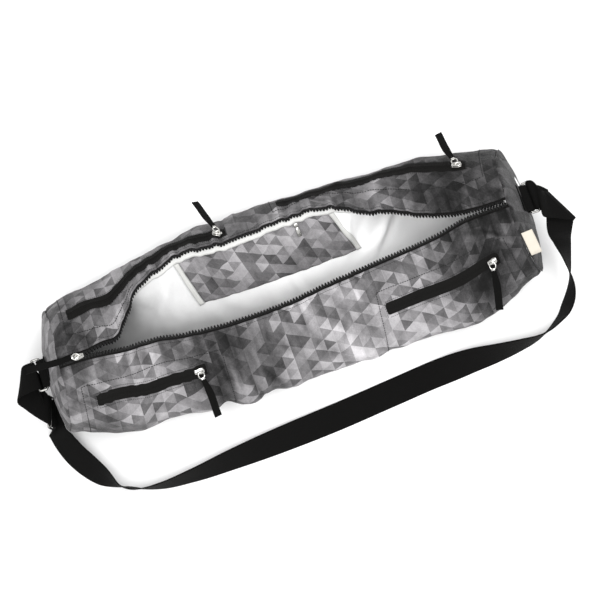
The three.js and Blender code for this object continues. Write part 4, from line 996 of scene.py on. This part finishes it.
def sliderShape():
    s = slider
    lower = slabOf(s["outline"], -0.6, 0.6, bevel=0.3)
    upper = slabOf(s["outline"], 1.8, s["high"], bevel=0.5)
    post = slabOf([(1.4, -1.1), (4.6, -1.1), (4.6, 1.1), (1.4, 1.1)], 0.5, 2.0, bevel=0.1)
    arch = [(-3.6, 0, s["high"] - 0.4)] + [
        (-3.6 * math.cos(a), 0, s["high"] + 2.3 * math.sin(a)) for a in np.linspace(0.25, math.pi - 0.25, 9)
    ] + [(3.6, 0, s["high"] - 0.4)]
    wire = tubePoints(arch, s["bridge"], sides=8)
    return joined([lower, upper, post, (wire, tubeFaces(wire, False))])


# Slider, ring, clip and webbing pull
def puller(prefix, spot, along, up, toward, length, droop, width):
    up = unit(up)
    along = unit(along - up * (along @ up))
    toward = unit(toward - up * (toward @ up))
    axes = np.array([[spot], [along], [np.cross(up, along)], [up]])
    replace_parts(addMany(f"{prefix}_slider_metal", sliderShape(), *axes, "metal", metal), f"{prefix}_slider")
    s = slider
    tilt = math.radians(14)
    forward = toward * math.cos(tilt) + up * math.sin(tilt) * 0.4
    lift = up * math.cos(tilt) - toward * math.sin(tilt) * 0.4
    side = np.cross(lift, forward)
    angles = np.linspace(0, 2 * math.pi, 25)[:-1]
    middle = spot + up * (s["high"] + 0.9) + toward * s["ring"]
    path = [middle + s["ring"] * (forward * math.cos(a) + side * 0.86 * math.sin(a)) for a in angles]
    wire = tubePoints(path, s["wire"], closed=True)
    start = middle + forward * (s["ring"] - 0.6)
    clipOutline = np.array([(-1.2, -2.2), (2.4, -3.0), (2.4, 3.0), (-1.2, 2.2)])
    clip, clipFaces = slabOf(clipOutline, -1.3, 1.3, bevel=0.5)
    clip = start + clip[:, :1] * forward + clip[:, 1:2] * side + clip[:, 2:] * lift
    ringPiece = addMesh(f"{prefix}_ring_metal", *joined([(wire, tubeFaces(wire, True)), (clip, clipFaces)]),
                        "metal", metal)
    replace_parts(ringPiece, f"{prefix}_ring")
    rows = 24
    share = np.linspace(0, 1, rows)
    centre = start + forward * (1.5 + share[:, None] * length) - up * (droop * share[:, None] ** 2)
    centre = centre + side * (1.2 * np.sin(share * 4.4))[:, None]
    half = (width / 2) * (0.68 + 0.32 * smooth(share, 0.04, 0.4))
    thick = 1.15 + 0.25 * np.exp(-((share - 0.06) / 0.06) ** 2)
    ribbonMesh(f"{prefix}_pull_webbing", centre, np.tile(side, (rows, 1)), 2 * half, 2 * thick,
               f"{prefix}_pull")


# Flat webbing through centres, with the direction of its width, rounded edges and a UV along it
def ribbonMesh(name, centres, across, widths, walls, replaced):
    centres, across = np.asarray(centres, float), np.asarray(across, float)
    widths = np.broadcast_to(widths, len(centres))
    walls = np.broadcast_to(walls, len(centres))
    step = unit(np.diff(centres, axis=0))
    run = np.concatenate([step[:1], step[:-1] + step[1:], step[-1:]])
    face = unit(np.cross(across, run))
    upper = [(-0.5, 0.0), (-0.485, 0.36), (-0.44, 0.5), (-0.22, 0.46), (0, 0.47), (0.22, 0.46), (0.44, 0.5),
             (0.485, 0.36)]
    profile = upper + [(-a, -b) for a, b in upper]
    points = np.stack([
        centres + across * (a * widths)[:, None] + face * (b * walls)[:, None] for a, b in profile
    ], axis=1)
    far = farAlong(centres)
    uv = np.stack([
        np.stack([far, (a + 0.5) * widths + (0 if b >= 0 else 60)], axis=-1) for a, b in profile
    ], axis=1)
    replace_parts(addMesh(name, points, tubeFaces(points, False), "webbing", webbing, uv=uv), replaced)


pull = {
    "length": 57.0, "width": 10.5, "droop": 4.0, "lift": 0.6, "mainLength": 60.0, "mainWidth": 9.0,
    "mainDroop": 22.0, "mainAt": 0.043,
}
for name, (side, rows) in zipLines.items():
    at = rows[-1][0] - 9.75 / body["length"]
    around = side * float(zipAcross(name, np.array(rows[-1][0])))
    spot, up = onSkin(at, around, pull["lift"])
    ahead, _ = onSkin(at + 0.012, around)
    behind, _ = onSkin(at - 0.012, around)
    along = unit(ahead - behind)
    across = np.cross(up, along) * side
    lean = math.radians(pullLean[name])
    toward = across * math.cos(lean) + along * math.sin(lean)
    puller(f"pocket_zip_{name}", spot, along, up, toward, pull["length"], pull["droop"], pull["width"])
lipFrames = [lipFrame(side) for side in (-1, 1)]
tips = [rowsAt(pull["mainAt"], ats, lip + beyond * 7.9) for lip, beyond, _, _ in lipFrames]
along = rowsAt(pull["mainAt"], ats, lipFrames[0][2])
up = np.cross(along, [0.0, 1.0, 0.0])
up *= np.sign(up[2])
puller("main", (tips[0] + tips[1]) / 2 + up * pull["lift"], -along, up, np.array([-1.0, 0, 0]),
       pull["mainLength"], pull["mainDroop"], pull["mainWidth"])
print("pulls")

# Shoulder strap: the stations of the CAD route, out from a ring's bar or along the floor
strap = {
    "width": 37.0, "wall": 1.8, "ringWire": 3.0, "clearance": 1.0, "leftHeight": 87.0, "rightHeight": 100.0,
    "leftAcross": -1.0, "rightAcross": 10.0, "foldHeight": 88.0, "slot": 8.0, "bar": 3.0, "wave": 2.6,
    "station": 14,
}
turn = (strap["ringWire"] * math.sqrt(0.5) + body["gap"] + strap["wall"] / 2) / strap["width"]
ringBoxes = {side: [np.array(corner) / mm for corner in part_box(f"ring_{side}")] for side in ("left", "right")}
leftOuter = ringBoxes["left"][0][0] + strap["ringWire"] / 2
rightOuter = ringBoxes["right"][1][0] - strap["ringWire"] / 2
leftBar = (leftOuter, strap["leftAcross"], strap["leftHeight"])
rightBar = (rightOuter, strap["rightAcross"], strap["rightHeight"])


def fromBar(bar, end, rows):
    w = strap["width"]
    return [[bar[0] + end * r[0] * w, bar[1] + r[1] * w, bar[2] + r[2] * w, *r[3:]] for r in rows]


def resting(roll, lift):
    angle = math.radians(roll)
    return (strap["width"] / 2 * abs(math.sin(angle)) + strap["wall"] / 2 * abs(math.cos(angle))
            + lift * strap["width"] + body["gap"])


def onFloor(rows):
    return [[x * body["length"] / 2, y * body["diameter"], resting(roll, lift), aim, roll, 1]
            for x, y, lift, aim, roll in rows]


route = fromBar(leftBar, -1, [
    [-0.06, -0.66, -0.44, 74, 0, 1],
    [-0.04, -0.35, -0.25, 82, 0, 1],
    [0.03, -0.06, -turn, 90, 0, 1],
    [-turn * 0.72, 0, -turn * 0.72, 90, 0, 1],
    [-turn, 0, 0, 90, 0, 1],
    [-turn * 0.72, 0, turn * 0.72, 90, 0, 1],
    [0.03, 0, turn, 90, 0, 1],
    [0.3, -0.02, 0.12, 86, 0, 1],
    [0.56, -0.08, 0.0, 70, 0, 1],
    [0.66, -0.22, -0.17, 62, 0, 1],
    [0.47, -0.47, -0.34, 62, 0, 1.08],
    [0.14, -0.93, -0.36, 66, 0, 1.1],
    [-0.03, -1.2, -0.48, 72, 0, 1.04],
    [-0.01, -1.23, -0.78, 72, 0, 1],
    [-0.04, -1.24, -1.0, 72, 0, 1],
    [-0.07, -1.25, -1.22, 72, 0, 1],
    [-0.11, -1.27, -1.5, 71, 1, 1],
    [-0.02, -1.54, -1.72, 38, 28, 1],
])
route += onFloor([
    [-1.066, -0.4, 0.14, 10, 44],
    [-1.052, -0.5, 0.1, 15, 38],
    [-1.026, -0.628, 0.05, 28, 34],
    [-0.988, -0.756, 0.02, 42, 36],
    [-0.95, -0.86, 0, 50, 50],
    [-0.922, -0.924, 0, 52, 70],
    [-0.894, -0.986, 0, 60, 92],
    [-0.859, -1.027, 0, 70, 100],
    [-0.823, -1.057, 0, 76, 96],
    [-0.749, -1.087, 0, 86, 84],
    [-0.617, -1.093, 0, 91, 68],
    [-0.447, -1.073, 0, 93, 48],
    [-0.208, -1.044, 0, 93, 24],
    [0.02, -1.015, 0, 94, 8],
    [0.246, -0.978, 0, 94, 3],
    [0.456, -0.948, 0, 91, 8],
    [0.6, -0.95, 0, 89, 36],
    [0.69, -0.962, 0, 88, 54],
    [0.79, -0.966, 0, 90, 72],
    [0.878, -0.955, 0, 100, 88],
    [0.921, -0.93, 0, 110, 96],
    [0.964, -0.888, 0, 125, 102],
    [1.004, -0.838, 0.02, 138, 108],
    [1.035, -0.765, 0.12, 150, 110],
    [1.055, -0.69, 0.3, 160, 102],
    [1.065, -0.62, 0.52, 168, 90],
    [1.073, -0.52, 0.7, 172, 72],
    [1.078, -0.42, 0.85, 174, 58],
    [1.08, -0.33, 1.02, 172, 42],
])
foldSpot = np.array([
    body["length"] / 2 + 0.9 * strap["width"], strap["rightAcross"] - 0.6 * strap["width"],
    strap["foldHeight"],
])
foldRadius = 1.7 * strap["wall"]
diagonal = math.sqrt(2)
for onward, push, lift, aim, roll, stretch in (
    (-0.81, 0, -0.25, 161, 18, 1), (-0.38, 0, -0.1, 140, 10, 1.08), (0, 0, 0, 117, 5, diagonal),
    (0, 1, 1, 117, 5, diagonal), (0, 0, 2, 117, 5, diagonal), (0.38, 0, 0.1, 94, 3, 1.08),
    (0.7, 0, 0.3, 76, 0, 1),
):
    heading = math.radians(71 if onward < 0 else 161)
    step = onward * strap["width"]
    if onward:
        level = (2 * foldRadius if onward > 0 else 0) + lift * strap["width"]
    else:
        level = lift * foldRadius
    route.append([
        foldSpot[0] + step * math.cos(heading) + push * foldRadius * math.cos(math.radians(27)),
        foldSpot[1] + step * math.sin(heading) + push * foldRadius * math.sin(math.radians(27)),
        foldSpot[2] + level, aim, roll, stretch,
    ])
route += fromBar(rightBar, 1, [
    [0.02, 0.05, turn, 88, 0, 1.08],
    [-turn * 0.72, 0.06, turn, 90, 0, 1.1],
    [-turn * 1.5, 0.06, 0, 90, 0, 1.1],
    [-turn * 0.72, 0.04, -turn * 0.9, 90, 0, 1.06],
    [0.04, -0.02, -turn, 88, 0, 1],
    [0.22, -0.12, -0.2, 76, 0, 1],
    [0.4, -0.3, -0.36, 62, 0, 1],
])
route = np.array(route)
fars = farAlong(route[:, :3])
places = np.unique(np.concatenate([np.arange(0, fars[-1], 3.0), fars, [fars[-1]]]))
places = places[np.concatenate([[True], np.diff(places) > 0.35])]
values = np.stack([hermite(fars, route[:, k], places) for k in range(6)], axis=-1)
aims, rolls = np.radians(values[:, 3]), np.radians(values[:, 4])
strapAcross = np.stack([np.cos(rolls) * np.cos(aims), np.cos(rolls) * np.sin(aims), np.sin(rolls)], axis=-1)
plateFar = fars[strap["station"]]
pitch = strap["slot"] + strap["bar"]


def spotAt(far):
    return np.array([hermite(fars, route[:, k], np.array(far)) for k in range(3)])


plateAcross = strapAcross[np.argmin(np.abs(places - plateFar))]
plateRun = unit(spotAt(plateFar + strap["slot"]) - spotAt(plateFar - strap["slot"]))
plateFace = unit(np.cross(plateAcross, plateRun))
away = np.abs(places - plateFar) / pitch
swing = np.cos(math.pi * away)
weave = np.where(away < 1, strap["wave"] * swing, strap["wave"] * (swing - 1) / 2) * (away < 2)
centres = values[:, :3] + weave[:, None] * plateFace
ribbonMesh("shoulder_strap_webbing", centres, strapAcross, values[:, 5] * strap["width"], strap["wall"],
           "shoulder_strap")


# Wire bent to flat outlines, each with whether it closes and the radius of the wire, in the polished metal
# darkened as painted shade
def wireFrame(name, outlines, spot, x, y, replaced):
    parts = []
    for path, closed, wire in outlines:
        placed = spot + path[:, :1] * x + path[:, 1:2] * y
        tube = tubePoints(placed, wire, closed, 12)
        parts.append((tube, tubeFaces(tube, closed)))
    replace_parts(addMesh(name, *joined(parts), "metal", shadedMetal), replaced)


# Strap slider: a frame with a middle bar
plateWide = strap["width"] + 2 * strap["clearance"] + strap["bar"]
plateLong = 2 * pitch
plateY = np.cross(plateFace, plateRun)
wireFrame("strap_slider_metal", [
    (roundedPath(plateLong, plateWide, 2.2), True, 1.3),
    (np.array([[0, -plateWide / 2], [0, 0], [0, plateWide / 2]]), False, 1.2),
], spotAt(plateFar), plateRun, plateY, "strap_slider")

# Rings and tabs on the ends: each tab runs up the end, over the bar of its ring and on
tab = {"below": 0.75, "lowGap": 6.0, "above": 0.5, "highGap": 7.0, "foot": 5.6, "stretch": 1.35}
for side, end in (("left", -1), ("right", 1)):
    low, high = ringBoxes[side]
    middle = (low + high) / 2
    long = high[0] - low[0] - strap["ringWire"]
    wide = high[1] - low[1] - strap["ringWire"]
    wireFrame(f"ring_{side}_metal", [(roundedPath(long, wide, 2.6), True, 1.5)],
              middle, np.array([1.0, 0, 0]), np.array([0.0, 1.0, 0]), f"ring_{side}")
    height = strap[side + "Height"]
    acrossAt = strap[side + "Across"]
    bar = (low[0] if end > 0 else high[0]) + end * strap["ringWire"] / 2
    wrapRadius = turn * strap["width"]
    middleAt = 0.0 if end < 0 else 1.0
    foot = bar - end * tab["foot"] - placeX(middleAt, acrossAt, height)
    lower = np.linspace(height - tab["below"] * strap["width"], height - tab["lowGap"], 8)
    upper = np.linspace(height + tab["highGap"], height + tab["above"] * strap["width"], 6)
    path = [(foot + placeX(middleAt, acrossAt, z), z) for z in lower]
    path += [(bar + end * tab["stretch"] * wrapRadius * math.cos(a), height + wrapRadius * math.sin(a))
             for a in np.linspace(-math.pi / 2, math.pi / 2, 12)]
    path += [(foot + placeX(middleAt, acrossAt, z), z) for z in upper]
    centres = np.array([(x, acrossAt, z) for x, z in path])
    acrossTab = np.tile([0.0, 1.0, 0.0], (len(centres), 1))
    ribbonMesh(f"strap_tab_{side}_webbing", centres, acrossTab, strap["width"], strap["wall"],
               f"strap_tab_{side}")
print("strap")

# Label in the seam of the right end
tag = {"drop": 36.0, "long": 37.5, "wide": 17.0, "wall": 0.8, "droop": 20.0}
rowsAlong = np.linspace(0, 1, 19)
seamLine, _ = onSkin(np.ones(19), (tag["drop"] + rowsAlong * tag["long"]) / girthAt(1.0, -1) - 1, 0.6)
outward = np.array([math.cos(math.radians(tag["droop"])), 0.1, -math.sin(math.radians(tag["droop"]))])
acrossShares = np.linspace(0, 1, 10)
curl = np.array([0, 0, 1.0]) * (1.6 * acrossShares ** 2)[None, :, None]
dip = np.array([0, 0, 1.0]) * (1.0 * np.sin(rowsAlong * 3.1))[:, None, None]
points = (seamLine[:, None] + np.array([1.8, 0, 0]) + outward * (acrossShares * tag["wide"])[None, :, None]
          + curl + dip * acrossShares[None, :, None])
labelPiece = addMesh("label_cloth", points, quads(*points.shape[:2]), "label", labelCloth)
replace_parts(thicken(labelPiece, tag["wall"]), "label")

# Small metal pull on the zip of the inner pocket
hook = {"at": 0.5555, "top": 1.0, "foot": 19.0, "topLift": 5.4, "footLift": 5.8}
spot, out = linerSpot(hook["at"], inner["top"] + hook["top"], -hook["topLift"])
down, _ = linerSpot(hook["at"], inner["top"] + hook["foot"], -hook["footLift"])
run = unit(down - spot)
inwards = -out
tabShape = joined([
    slabOf([(-2, -2.6), (3.5, -3.2), (3.5, 3.2), (-2, 2.6)], 0, 2.4, bevel=0.4),
    slabOf([(4.2, -1.9), (17, -3.0), (18.6, -1.6), (18.6, 1.6), (17, 3.0), (4.2, 1.9)], 0.6, 2.0, bevel=0.4),
])
axes = np.array([[spot], [run], [np.cross(inwards, run)], [inwards]])
addMany("inner_pocket_pull", tabShape, *axes, "metal", metal)
print("details")

# Floor, light and camera
floorMesh = bpy.data.meshes.new("floor")
floorMesh.from_pydata([(-6, -6, 0), (6, -6, 0), (6, 6, 0), (-6, 6, 0)], [], [(0, 1, 2, 3)])
floor = bpy.data.objects.new("floor", floorMesh)
bpy.context.scene.collection.objects.link(floor)
floorMaterial, tree, shader = newMaterial("floor", 0.9)
place = node(tree, "ShaderNodeTexCoord").outputs["Object"]
shade = plus(tree, times(tree, noiseOf(tree, place, 3.0), 0.01), 0.965)
tree.links.new(grey(tree, shade, (1.0, 1.0, 1.0)), shader.inputs["Base Color"])
floorMesh.materials.append(floorMaterial)

scene = bpy.context.scene
scene.view_settings.view_transform = "Standard"
world = bpy.data.worlds.new("studio")
world.use_nodes = True
world.node_tree.nodes["Background"].inputs[0].default_value = (1.0, 1.0, 1.0, 1.0)
world.node_tree.nodes["Background"].inputs[1].default_value = 0.85
scene.world = world
for name, spot, size, power in (
    ("key", (-0.6, -0.9, 2.4), 1.2, 37.0),
    ("fill", (0.95, -0.2, 2.5), 1.6, 36.0),
):
    light = bpy.data.lights.new(name, "AREA")
    light.size = size
    light.energy = power
    lamp = bpy.data.objects.new(name, light)
    scene.collection.objects.link(lamp)
    lamp.location = spot
    lamp.rotation_euler = (-Vector(spot)).to_track_quat("-Z", "Y").to_euler()

view = {"azimuth": -19.2, "elevation": 78.0, "away": 2.3, "target": (0.0076, -0.001, 0.0), "lens": 100.36}
azimuth, elevation = math.radians(view["azimuth"]), math.radians(view["elevation"])
back = Vector((math.sin(azimuth) * math.cos(elevation), -math.cos(azimuth) * math.cos(elevation),
               math.sin(elevation)))
lens = bpy.data.cameras.new("camera")
lens.lens = view["lens"]
lens.sensor_width = 36
camera = bpy.data.objects.new("camera", lens)
scene.collection.objects.link(camera)
camera.location = Vector(view["target"]) + back * view["away"]
camera.rotation_euler = (-back).to_track_quat("-Z", "Y").to_euler()
scene.camera = camera
